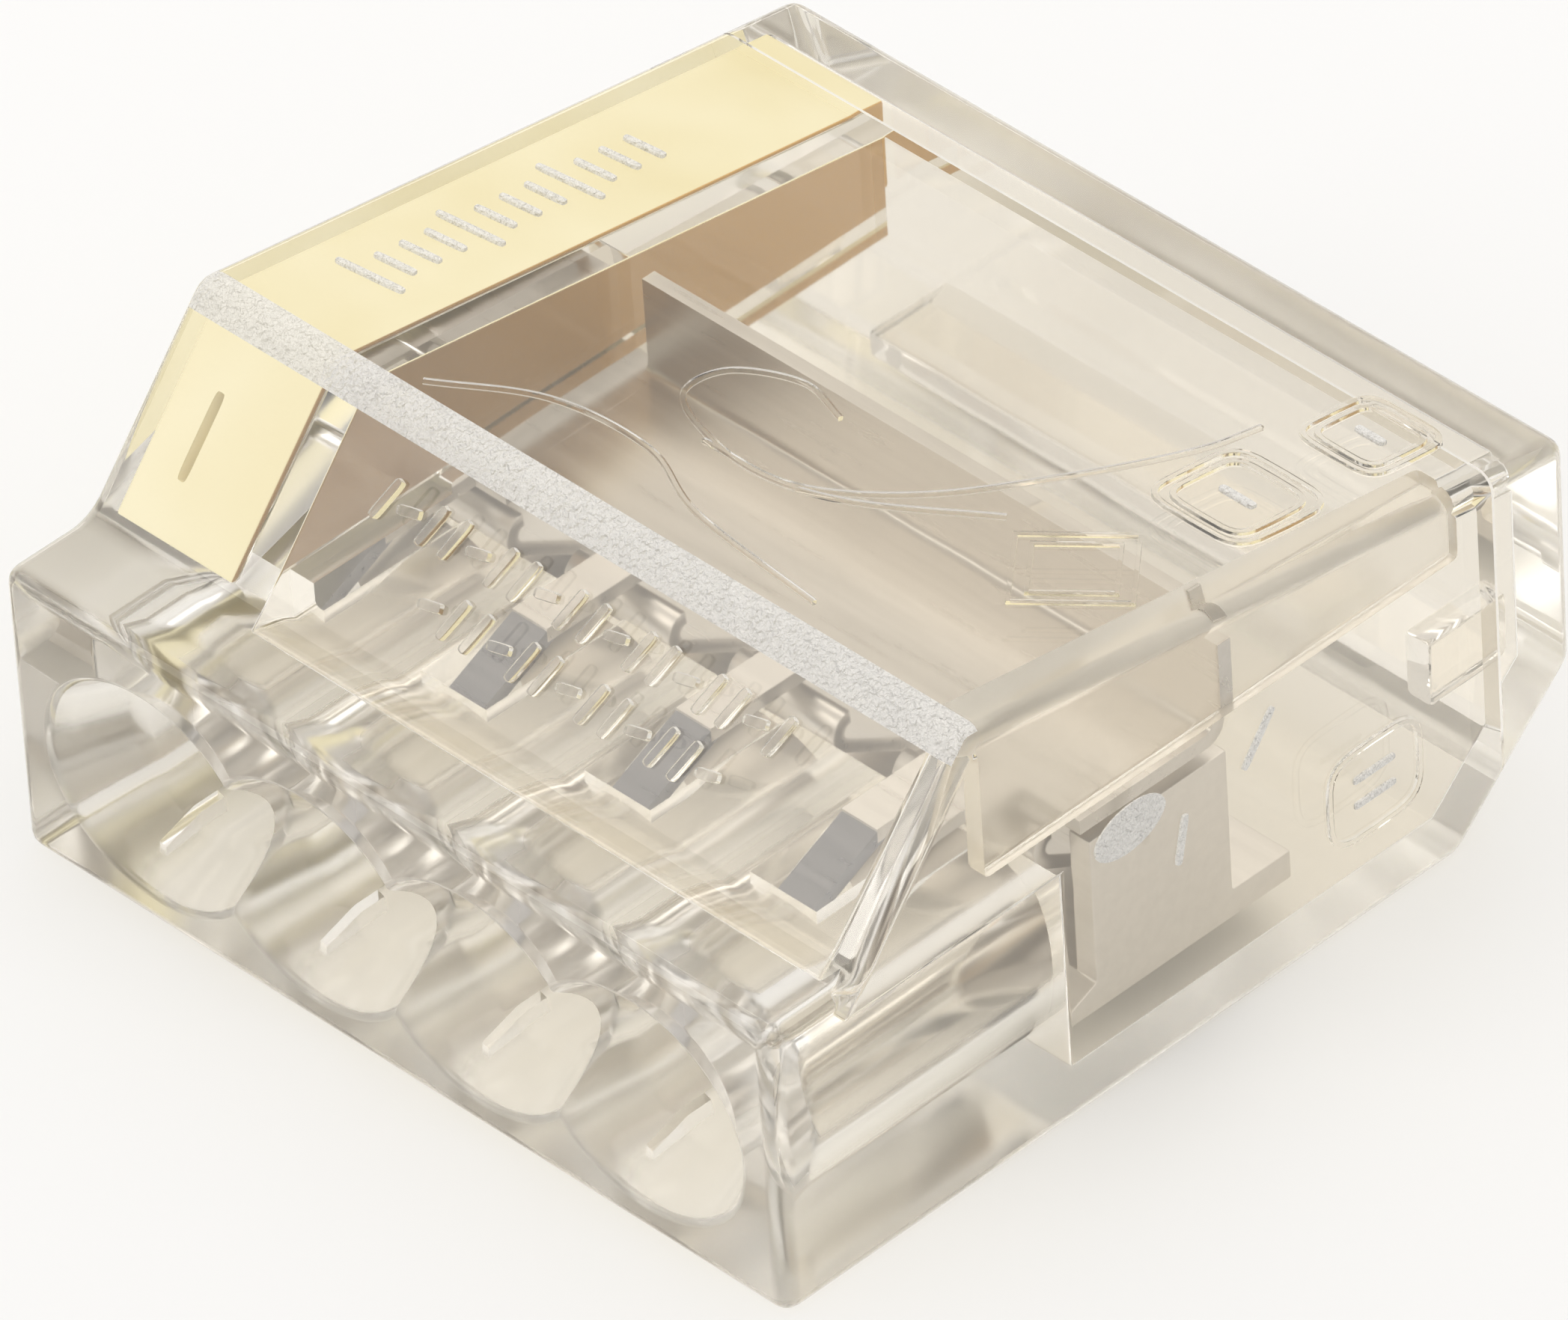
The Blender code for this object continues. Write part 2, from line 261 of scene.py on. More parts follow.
def soften(piece: bpy.types.Object, radius: float, segments: int, least_angle: float = 20.0) -> None:
    """Rounds every edge sharper than an angle and applies the result.

    Args:
        piece: Object to round.
        radius: Width of the rounding.
        segments: Faces across each rounding.
        least_angle: Angle in degrees past which an edge is rounded.
    """
    bevel = piece.modifiers.new("rounding", "BEVEL")
    bevel.width, bevel.segments = radius, segments
    bevel.limit_method, bevel.angle_limit = "ANGLE", math.radians(least_angle)
    bevel.miter_outer = "MITER_ARC"
    settle(piece)


def combine(piece: bpy.types.Object, tools: list[bpy.types.Object], join: Join) -> None:
    """Cuts the tools from a piece, or adds them, one after another, and removes them.

    Args:
        piece: Object that is changed.
        tools: Closed objects, used in this order.
        join: Whether the tools are cut away or added.
    """
    for tool in tools:
        step = piece.modifiers.new(tool.name, "BOOLEAN")
        step.operation, step.object, step.solver = join.value, tool, "EXACT"
    settle(piece)
    for tool in tools:
        bpy.data.meshes.remove(tool.data)


def finish_with(piece: bpy.types.Object, surface: Surface | Steel) -> bpy.types.Object:
    """Gives every face of a tool the slot that its cut or its added shape has on the finished piece.

    Args:
        piece: The tool.
        surface: Slot of the finished piece.

    Returns:
        The same tool.
    """
    for _ in type(surface):
        piece.data.materials.append(None)
    faces = piece.data.polygons
    faces.foreach_set("material_index", np.full(len(faces), surface.value, np.int32))
    return piece


def shade(piece: bpy.types.Object, sharp_from: float = 28.0) -> None:
    """Smooth shading that keeps flat faces flat: normals are weighted by face area, and edges can stay sharp.

    Args:
        piece: Object to shade.
        sharp_from: Angle in degrees past which an edge stays sharp.
    """
    piece.data.shade_smooth()
    piece.data.set_sharp_from_angle(angle=math.radians(sharp_from))
    weighted = piece.modifiers.new("weighted_normals", "WEIGHTED_NORMAL")
    weighted.keep_sharp, weighted.weight = True, 90
    settle(piece)


def dress(
    piece: bpy.types.Object, finishes: list[bpy.types.Material], body: str, slot: str, *nodes: str
) -> None:
    """Gives a finished piece its materials and its body, and hides the CAD nodes that it stands for.

    Args:
        piece: The finished object.
        finishes: Materials for a piece that has none yet.
        body: Body that carries the piece.
        slot: Name of a material slot; not used.
        nodes: CAD nodes that the piece replaces.
    """
    if len(piece.data.materials) == 0:
        for finish in finishes:
            piece.data.materials.append(finish)
    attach(piece, body)
    if nodes:
        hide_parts(*nodes)
    LOG.info("%s: %d faces, on %s", piece.name, len(piece.data.polygons), body)


# --------------------------------------------------------------------------------------------------
# Layout
# --------------------------------------------------------------------------------------------------


@dataclass(frozen=True)
class Layout:
    """Sizes that several pieces share. The outer ones come from the frame."""

    front: float
    width: float
    depth: float
    bottom: float
    seam: float
    height: float = 9.7 * MM
    back_height: float = 7.46 * MM
    collar_height: float = 6.2 * MM
    collar_depth: float = 2.0 * MM
    ridge: float = 4.98 * MM
    chamfer_height: float = 2.65 * MM
    chamfer_length: float = 2.94 * MM
    side_wall: float = 0.9 * MM
    top_wall: float = 0.85 * MM
    slope_wall: float = 0.8 * MM
    floor: float = 0.8 * MM
    ports: int = 4
    pitch: float = 4.0 * MM
    port_height: float = 2.9 * MM
    frost_drop: float = 0.45 * MM
    pocket_left: float = -9.05 * MM
    rib_left: float = -6.1 * MM
    rib_right: float = -5.4 * MM

    @classmethod
    def from_frame(cls) -> "Layout":
        """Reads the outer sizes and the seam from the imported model.

        Returns:
            The layout of this connector.
        """
        low, high = CAD_BOX
        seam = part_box("housing")[1].y - low.y
        return cls(front=low.y, width=high.x - low.x, depth=high.y - low.y, bottom=low.z, seam=seam)

    def y(self, distance: np.ndarray | float) -> np.ndarray | float:
        """Y of a plane this far behind the wire-entry face."""
        return self.front + distance

    def top(self, distance: float) -> float:
        """Height of the top face, which falls evenly from the ridge to the rear."""
        fall = (self.height - self.back_height) / (self.depth - self.ridge)
        return self.height - fall * (distance - self.ridge)

    def slope(self, height: float, inset: float = 0.0) -> float:
        """Distance of the front slope at a height.

        Args:
            height: Height above the bottom.
            inset: Wall by which the slope is set back, measured square to it.

        Returns:
            The distance.
        """
        run, rise = self.ridge - self.collar_depth, self.height - self.collar_height
        outer = self.collar_depth + (height - self.collar_height) * run / rise
        return outer + inset * math.hypot(run, rise) / rise

    def chamfer(self, distance: float) -> float:
        """Height of the rear bottom chamfer at a distance."""
        return (distance - self.depth + self.chamfer_length) * self.chamfer_height / self.chamfer_length

    def inner_ridge(self, slope_wall: float, top_wall: float) -> tuple[float, float]:
        """Where two straight lines meet: the inner face of the slope and the ceiling.

        Args:
            slope_wall: How far the inner face is set back, square to the slope.
            top_wall: How far the ceiling is set down.

        Returns:
            The (distance, height) of the inner ridge.
        """
        fall = (self.height - self.back_height) / (self.depth - self.ridge)
        base = self.height - top_wall + fall * self.ridge
        start, rate = self.slope(0.0, slope_wall), self.slope(1.0, 0.0) - self.slope(0.0, 0.0)
        height = (base - fall * start) / (1 + fall * rate)
        return start + rate * height, height

    def port_centres(self) -> np.ndarray:
        """X of each port's middle."""
        return (np.arange(self.ports) - (self.ports - 1) / 2) * self.pitch

    def outline(self) -> np.ndarray:
        """Outline of the outer wedge, with an extra point where the frosted strip starts on the slope.

        Returns:
            The (distance, height) corners, array of shape (8, 2).
        """
        frost = self.height - self.frost_drop
        return np.array(
            [
                (0.0, 0.0),
                (self.depth - self.chamfer_length, 0.0),
                (self.depth, self.chamfer_height),
                (self.depth, self.back_height),
                (self.ridge, self.height),
                (self.slope(frost), frost),
                (self.collar_depth, self.collar_height),
                (0.0, self.collar_height),
            ]
        )


LAYOUT = Layout.from_frame()


# --------------------------------------------------------------------------------------------------
# Finishes
# --------------------------------------------------------------------------------------------------


# Sockets of a Mix node that carry colours.
COLOURS_IN = (6, 7)
COLOUR_OUT = 2


@dataclass
class NodeSheet:
    """Short hands for wiring one node tree."""

    tree: bpy.types.NodeTree

    def feed(self, socket: bpy.types.NodeSocket, value: object) -> None:
        """Links an output socket to an input, or sets a plain value on it.

        Args:
            socket: The input.
            value: The output socket or the plain value.
        """
        if isinstance(value, bpy.types.NodeSocket):
            self.tree.links.new(value, socket)
        else:
            socket.default_value = value

    def fill(self, node: bpy.types.Node, **inputs: object) -> bpy.types.Node:
        """Feeds several inputs of a node.

        Args:
            node: Node of this tree.
            inputs: Output sockets or plain values by input name, with underscores for spaces.

        Returns:
            The same node.
        """
        for name, value in inputs.items():
            self.feed(node.inputs[name.replace("_", " ")], value)
        return node

    def add(self, kind: str, **inputs: object) -> bpy.types.Node:
        """Adds a node and feeds its inputs, named as in fill."""
        return self.fill(self.tree.nodes.new(kind), **inputs)

    def add_group(self, group: bpy.types.NodeTree, **inputs: object) -> bpy.types.Node:
        """Adds a node that holds a shared group.

        Args:
            group: The shared node group.
            inputs: Inputs of the group, named as in fill.

        Returns:
            The new node.
        """
        node = self.tree.nodes.new("ShaderNodeGroup")
        node.node_tree = group
        return self.fill(node, **inputs)

    def mix_colours(self, share: object, first: object, second: object) -> bpy.types.NodeSocket:
        """Mixes two colours.

        Args:
            share: How much of the second colour there is.
            first: The first colour.
            second: The second colour.

        Returns:
            Output socket of the mixed colour.
        """
        mix = self.add("ShaderNodeMix")
        mix.data_type = "RGBA"
        self.feed(mix.inputs["Factor"], share)
        for number, colour in zip(COLOURS_IN, (first, second)):
            self.feed(mix.inputs[number], colour)
        return mix.outputs[COLOUR_OUT]

    def mix_shaders(
        self, share: object, first: bpy.types.NodeSocket, second: bpy.types.NodeSocket
    ) -> bpy.types.NodeSocket:
        """Mixes two shaders.

        Args:
            share: How much of the second shader there is.
            first: The first shader.
            second: The second shader.

        Returns:
            Output socket of the mixed shader.
        """
        mix = self.add("ShaderNodeMixShader")
        for socket, value in zip(mix.inputs, (share, first, second)):
            self.feed(socket, value)
        return mix.outputs["Shader"]


def new_group(
    name: str, inputs: dict[str, float], outputs: list[str]
) -> tuple[bpy.types.NodeTree, NodeSheet]:
    """Makes an empty shader node group with float sockets and one vector input.

    Args:
        name: Name of the group.
        inputs: Default of each float input, by name.
        outputs: Names of the float outputs.

    Returns:
        The group and its sheet.
    """
    tree = bpy.data.node_groups.new(name, "ShaderNodeTree")
    for label, default in inputs.items():
        socket = tree.interface.new_socket(label, in_out="INPUT", socket_type="NodeSocketFloat")
        socket.default_value = default
    tree.interface.new_socket("Vector", in_out="INPUT", socket_type="NodeSocketVector")
    for label in outputs:
        tree.interface.new_socket(label, in_out="OUTPUT", socket_type="NodeSocketFloat")
    return tree, NodeSheet(tree)


def moulded_grain_group() -> bpy.types.NodeTree:
    """Group for moulded plastic: slow flow waves and a fine spark-eroded grain, as heights around zero.

    Returns:
        The group, whose outputs are Flow and Grain.
    """
    tree, sheet = new_group("moulded_grain", {"Flow Scale": 300.0, "Grain Scale": 9000.0}, ["Flow", "Grain"])
    source = tree.nodes.new("NodeGroupInput")
    result = tree.nodes.new("NodeGroupOutput")
    middle = 0.5
    for label, detail in (("Flow", 1.0), ("Grain", 3.0)):
        scale = source.outputs[f"{label} Scale"]
        noise = sheet.add("ShaderNodeTexNoise", Vector=source.outputs["Vector"], Scale=scale, Detail=detail)
        centred = sheet.add("ShaderNodeMath")
        centred.operation = "SUBTRACT"
        for socket, value in zip(centred.inputs, (noise.outputs["Fac"], middle)):
            sheet.feed(socket, value)
        sheet.feed(result.inputs[label], centred.outputs[0])
    return tree


def start_material(name: str) -> tuple[bpy.types.Material, NodeSheet, bpy.types.Node]:
    """Makes a material with its first nodes.

    Args:
        name: Name of the material.

    Returns:
        The material, its sheet and its Principled shader.
    """
    made = bpy.data.materials.new(name)
    made.use_nodes = True
    return made, NodeSheet(made.node_tree), made.node_tree.nodes["Principled BSDF"]


@dataclass(frozen=True)
class ClearPlastic:
    """Clear moulded polycarbonate with a faint honey tint."""

    name: str
    roughness: float = 0.025
    flow: float = 0.006
    flow_scale: float = 260.0
    flow_height: float = 1.0 * MM
    grain: float = 0.0
    grain_scale: float = 9000.0
    grain_height: float = 0.20 * MM
    tint: tuple[float, float, float] = (0.966, 0.940, 0.888)
    lamp_tint: tuple[float, float, float] = (0.982, 0.973, 0.950)
    index: float = 1.58
    haze: float = 0.0
    haze_colour: tuple[float, float, float] = (0.96, 0.95, 0.93)

    def relief(self, sheet: NodeSheet, group: bpy.types.NodeTree) -> bpy.types.NodeSocket:
        """Bumps the surface by the flow waves and, where the finish has one, by the fine grain.

        Args:
            sheet: Sheet of the material.
            group: Shared grain group.

        Returns:
            Output socket of the normal.
        """
        place = sheet.add("ShaderNodeTexCoord").outputs["Object"]
        scales = {"Flow_Scale": self.flow_scale, "Grain_Scale": self.grain_scale}
        texture = sheet.add_group(group, Vector=place, **scales)
        waves = sheet.add(
            "ShaderNodeBump", Height=texture.outputs["Flow"], Strength=self.flow, Distance=self.flow_height
        )
        normal = waves.outputs["Normal"]
        if self.grain:
            fine = sheet.add(
                "ShaderNodeBump",
                Height=texture.outputs["Grain"],
                Strength=self.grain,
                Distance=self.grain_height,
                Normal=normal,
            )
            normal = fine.outputs["Normal"]
        return normal

    def material(self, grain: bpy.types.NodeTree) -> bpy.types.Material:
        """Builds the material: tinted glass, a share of haze, and lamplight that passes straight through.

        Args:
            grain: Shared grain group.

        Returns:
            The material.
        """
        made, sheet, shader = start_material(self.name)
        normal = self.relief(sheet, grain)
        sheet.fill(shader, Base_Color=(*self.tint, 1.0), Roughness=self.roughness, IOR=self.index)
        sheet.fill(shader, Transmission_Weight=1.0, Normal=normal)
        surface = shader.outputs["BSDF"]
        if self.haze:
            milk = sheet.add("ShaderNodeBsdfDiffuse", Color=(*self.haze_colour, 1.0), Normal=normal)
            surface = sheet.mix_shaders(self.haze, surface, milk.outputs["BSDF"])
        lamp = sheet.add("ShaderNodeBsdfTransparent", Color=(*self.lamp_tint, 1.0))
        path = sheet.add("ShaderNodeLightPath")
        for ray in ("Is Shadow Ray", "Is Diffuse Ray"):
            surface = sheet.mix_shaders(path.outputs[ray], surface, lamp.outputs["BSDF"])
        sheet.fill(made.node_tree.nodes["Material Output"], Surface=surface)
        return made


@dataclass(frozen=True)
class OpaquePlastic:
    """Solid-coloured moulded plastic with a soft sheen and slight clouds in its pigment. Past one X, on the
    side that gets its light through the clear plastic, the colour is painted shade: amber, browner towards
    the front."""

    name: str
    light: tuple[float, float, float]
    deep: tuple[float, float, float]
    shade_amber: tuple[float, float, float]
    shade_brown: tuple[float, float, float]
    roughness: float
    shade_from: float
    deeper_shade_at: tuple[float, float]
    shade_blend: float = 0.02 * MM
    cloud_scale: float = 420.0
    cloud_range: float = 0.25
    grain: float = 0.12
    grain_scale: float = 7000.0
    grain_height: float = 0.03 * MM

    def material(self, grain: bpy.types.NodeTree) -> bpy.types.Material:
        """Builds the material: two close shades mixed by slow clouds, painted amber-to-brown shade past one
        X, and a grain.

        Args:
            grain: Shared grain group.

        Returns:
            The material.
        """
        made, sheet, shader = start_material(self.name)
        place = sheet.add("ShaderNodeTexCoord").outputs["Object"]
        scales = {"Flow_Scale": self.cloud_scale, "Grain_Scale": self.grain_scale}
        texture = sheet.add_group(grain, Vector=place, **scales)
        axes = sheet.add("ShaderNodeSeparateXYZ", Vector=place)
        shares = []
        for value, start, stop in (
            (texture.outputs["Flow"], -self.cloud_range, self.cloud_range),
            (axes.outputs["Y"], *self.deeper_shade_at),
            (axes.outputs["X"], self.shade_from, self.shade_from + self.shade_blend),
        ):
            share = sheet.add("ShaderNodeMapRange", Value=value, From_Min=start, From_Max=stop)
            shares.append(share.outputs["Result"])
        clouds, deeper_shade, shaded_side = shares
        yellow = sheet.mix_colours(clouds, (*self.light, 1.0), (*self.deep, 1.0))
        # Painted shade: past one X the yellow gives way to amber, browner towards the front, for the block's
        # side seen through the rib.
        shaded = sheet.mix_colours(deeper_shade, (*self.shade_amber, 1.0), (*self.shade_brown, 1.0))
        colour = sheet.mix_colours(shaded_side, yellow, shaded)
        fine = sheet.add(
            "ShaderNodeBump", Height=texture.outputs["Grain"], Strength=self.grain, Distance=self.grain_height
        )
        sheet.fill(shader, Base_Color=colour, Normal=fine.outputs["Normal"], Roughness=self.roughness)
        return made


@dataclass(frozen=True)
class SheetMetal:
    """Rolled sheet metal, with a grain drawn along X by the rolling."""

    name: str
    colour: tuple[float, float, float]
    dull: tuple[float, float, float]
    roughness: float
    spread: float = 0.3
    drawn: tuple[float, float, float] = (0.06, 1.0, 1.0)
    line_scale: float = 5200.0
    line_detail: float = 4.0
    grain: float = 0.06
    grain_height: float = 0.02 * MM

    def material(self) -> bpy.types.Material:
        """Builds the material: stretched noise drives colour, roughness and bump.

        Returns:
            The material.
        """
        made, sheet, shader = start_material(self.name)
        place = sheet.add("ShaderNodeTexCoord").outputs["Object"]
        drawn = sheet.add("ShaderNodeMapping", Vector=place, Scale=self.drawn).outputs["Vector"]
        noise = sheet.add("ShaderNodeTexNoise", Vector=drawn, Scale=self.line_scale, Detail=self.line_detail)
        lines = noise.outputs["Fac"]
        least, most = self.roughness * (1 - self.spread), self.roughness * (1 + self.spread)
        rough = sheet.add("ShaderNodeMapRange", Value=lines, To_Min=least, To_Max=most)
        fine = sheet.add("ShaderNodeBump", Height=lines, Strength=self.grain, Distance=self.grain_height)
        sheet.fill(shader, Base_Color=sheet.mix_colours(lines, (*self.dull, 1.0), (*self.colour, 1.0)))
        sheet.fill(shader, Roughness=rough.outputs["Result"], Normal=fine.outputs["Normal"], Metallic=1.0)
        return made


@dataclass
class Finishes:
    """Every material of the connector."""

    clear: bpy.types.Material
    frosted: bpy.types.Material
    satin: bpy.types.Material
    matt: bpy.types.Material
    milky: bpy.types.Material
    yellow: bpy.types.Material
    tin: bpy.types.Material
    spring: bpy.types.Material
    blued: bpy.types.Material

    @classmethod
    def make(cls) -> "Finishes":
        """Builds the shared grain group and every material.

        Returns:
            The finishes.
        """
        grain = moulded_grain_group()
        return cls(
            clear=ClearPlastic("clear_polycarbonate").material(grain),
            frosted=ClearPlastic(
                "frosted_polycarbonate", roughness=0.22, grain=1.0, haze=0.80
            ).material(grain),
            satin=ClearPlastic("satin_polycarbonate", roughness=0.05, flow=0.012).material(grain),
            matt=ClearPlastic("matt_polycarbonate", roughness=0.17, flow=0.012, haze=0.05).material(grain),
            milky=ClearPlastic(
                "milky_polycarbonate", roughness=0.2, haze=0.24, haze_colour=(0.84, 0.74, 0.56)
            ).material(grain),
            yellow=OpaquePlastic(
                "yellow_plastic",
                light=(0.94, 0.88, 0.62),
                deep=(0.88, 0.80, 0.50),
                # The amber and brown below are painted shade on the block's side behind the clear rib.
                shade_amber=(0.72, 0.43, 0.13),
                shade_brown=(0.40, 0.24, 0.09),
                roughness=0.32,
                shade_from=ColourBlock.right - 0.05 * MM,
                deeper_shade_at=(LAYOUT.y(13.0 * MM), LAYOUT.y(7.0 * MM)),
            ).material(grain),
            tin=SheetMetal("tin_plated_copper", (0.82, 0.79, 0.75), (0.68, 0.65, 0.61), 0.34).material(),
            spring=SheetMetal("spring_steel", (0.75, 0.72, 0.68), (0.60, 0.57, 0.53), 0.30).material(),
            # The neck steel is the spring steel painted darker: painted shade and dark reflection on the
            # slanted necks.
            blued=SheetMetal("spring_steel_painted_shade", (0.36, 0.36, 0.38), (0.24, 0.24, 0.26), 0.30).material(),
        )


# --------------------------------------------------------------------------------------------------
# Clear housing
# --------------------------------------------------------------------------------------------------


@dataclass(frozen=True)
class Face:
    """One flat outer face, as a place to put raised marks: across runs along it, along runs up or back, and
    the third direction, out, points away from the plastic."""

    origin: tuple[float, float, float]
    across: tuple[float, float, float]
    along: tuple[float, float, float]

    @classmethod
    def top(cls) -> "Face":
        """The sloping top face, measured from the ridge.

        Returns:
            The face.
        """
        run = LAYOUT.depth - LAYOUT.ridge
        along = np.array([0.0, run, LAYOUT.back_height - LAYOUT.height])
        along /= np.linalg.norm(along)
        return cls((0.0, LAYOUT.y(LAYOUT.ridge), LAYOUT.height), (1.0, 0.0, 0.0), tuple(along))

    @classmethod
    def ceiling(cls) -> "Face":
        """The underside of the top wall, below the ridge; across runs towards -X, so that out points down."""
        level = LAYOUT.height - LAYOUT.top_wall
        return cls((0.0, LAYOUT.y(LAYOUT.ridge), level), (-1.0, 0.0, 0.0), cls.top().along)

    @classmethod
    def slope(cls) -> "Face":
        """The front slope, measured from the collar.

        Returns:
            The face.
        """
        rise = (LAYOUT.ridge - LAYOUT.collar_depth, LAYOUT.height - LAYOUT.collar_height)
        along = np.array([0.0, *rise]) / math.hypot(*rise)
        origin = (0.0, LAYOUT.y(LAYOUT.collar_depth), LAYOUT.collar_height)
        return cls(origin, (1.0, 0.0, 0.0), tuple(along))

    @classmethod
    def right(cls) -> "Face":
        """The right side, measured from the front bottom corner."""
        return cls((LAYOUT.width / 2, LAYOUT.front, 0.0), (0.0, 1.0, 0.0), (0.0, 0.0, 1.0))

    def place(self, across: np.ndarray, along: np.ndarray, out: np.ndarray) -> np.ndarray:
        """World points from face coordinates: origin plus each coordinate times its direction.

        Args:
            across: Distances along the face's first direction.
            along: Distances along its second direction.
            out: Heights over the face.

        Returns:
            Array of shape (n, 3).
        """
        normal = np.cross(self.across, self.along)
        steps = ((across, self.across), (along, self.along), (out, normal))
        return np.asarray(self.origin) + sum(np.asarray(size)[..., None] * way for size, way in steps)


@dataclass
class RaisedMarks:
    """Plain raised marks on one face: bars, pads, and lines along a path."""

    face: Face
    height: float = 0.07 * MM
    root: float = 0.10 * MM
    line: float = 0.15 * MM
    sides: int = 28
    shoulder: float = 0.6
    crown: float = 0.82
    line_crown: float = 0.7
    surface: Surface = Surface.POLISHED

    def plan(self, half_across: float, half_along: float, power: float) -> np.ndarray:
        """Closed superellipse: cosine and sine of the angle, each raised to 2 / power with its sign kept.

        Args:
            half_across: Half its size across the face.
            half_along: Half its size along the face.
            power: 2 for an ellipse, more for squarer corners.

        Returns:
            Array of shape (2, sides) in face coordinates.
        """
        angle = np.linspace(0.0, 2 * math.pi, self.sides, endpoint=False)
        wave = np.stack([np.cos(angle), np.sin(angle)])
        shape = np.sign(wave) * np.abs(wave) ** (2 / power)
        return shape * np.array([[half_across], [half_along]])

    def bar(
        self, centre: tuple[float, float], length: float, width: float, turn: float = 0.0, power: float = 6.0
    ) -> bpy.types.Object:
        """A straight bar or an oval pad: superellipse rings whose width shrinks over the upper part.

        Args:
            centre: Its middle in face coordinates.
            length: Length of the bar.
            width: Width of the bar.
            turn: Angle in radians by which it is turned about its middle.
            power: Power of the superellipse.

        Returns:
            The closed bar.
        """
        rings = []
        for out, share in ((-self.root, 1.0), (self.shoulder * self.height, 1.0), (self.height, self.crown)):
            u, v = self.plan(length / 2, width / 2 * share, power)
            across = centre[0] + u * math.cos(turn) - v * math.sin(turn)
            along = centre[1] + u * math.sin(turn) + v * math.cos(turn)
            rings.append(self.face.place(across, along, np.full_like(u, out)))
        return finish_with(loft("mark_bar", np.stack(rings)), self.surface)

    def outline(
        self, centre: tuple[float, float], half: tuple[float, float], power: float
    ) -> bpy.types.Object:
        """A closed line round a superellipse with these halves and this power, about a centre."""
        return self.line_along(self.plan(*half, power) + np.array(centre)[:, None], closed=True)

    def line_along(self, path: np.ndarray, closed: bool) -> bpy.types.Object:
        """A low trapezium carried along a path in the face, square to it.

        Args:
            path: Array of shape (2, n) in face coordinates.
            closed: True joins the path's ends.

        Returns:
            The closed line piece.
        """
        if closed:
            step = np.roll(path, -1, axis=1) - np.roll(path, 1, axis=1)
        else:
            step = np.gradient(path, axis=1)
        square = np.stack([-step[1], step[0]]) / np.linalg.norm(step, axis=0)
        half, crown = self.line / 2, self.line / 2 * self.line_crown
        section = ((-half, -self.root), (half, -self.root), (crown, self.height), (-crown, self.height))
        corners = [
            self.face.place(*(path + square * side), np.full(path.shape[1], out)) for side, out in section
        ]
        return finish_with(loft("mark_line", np.stack(corners, axis=1), closed=closed), self.surface)


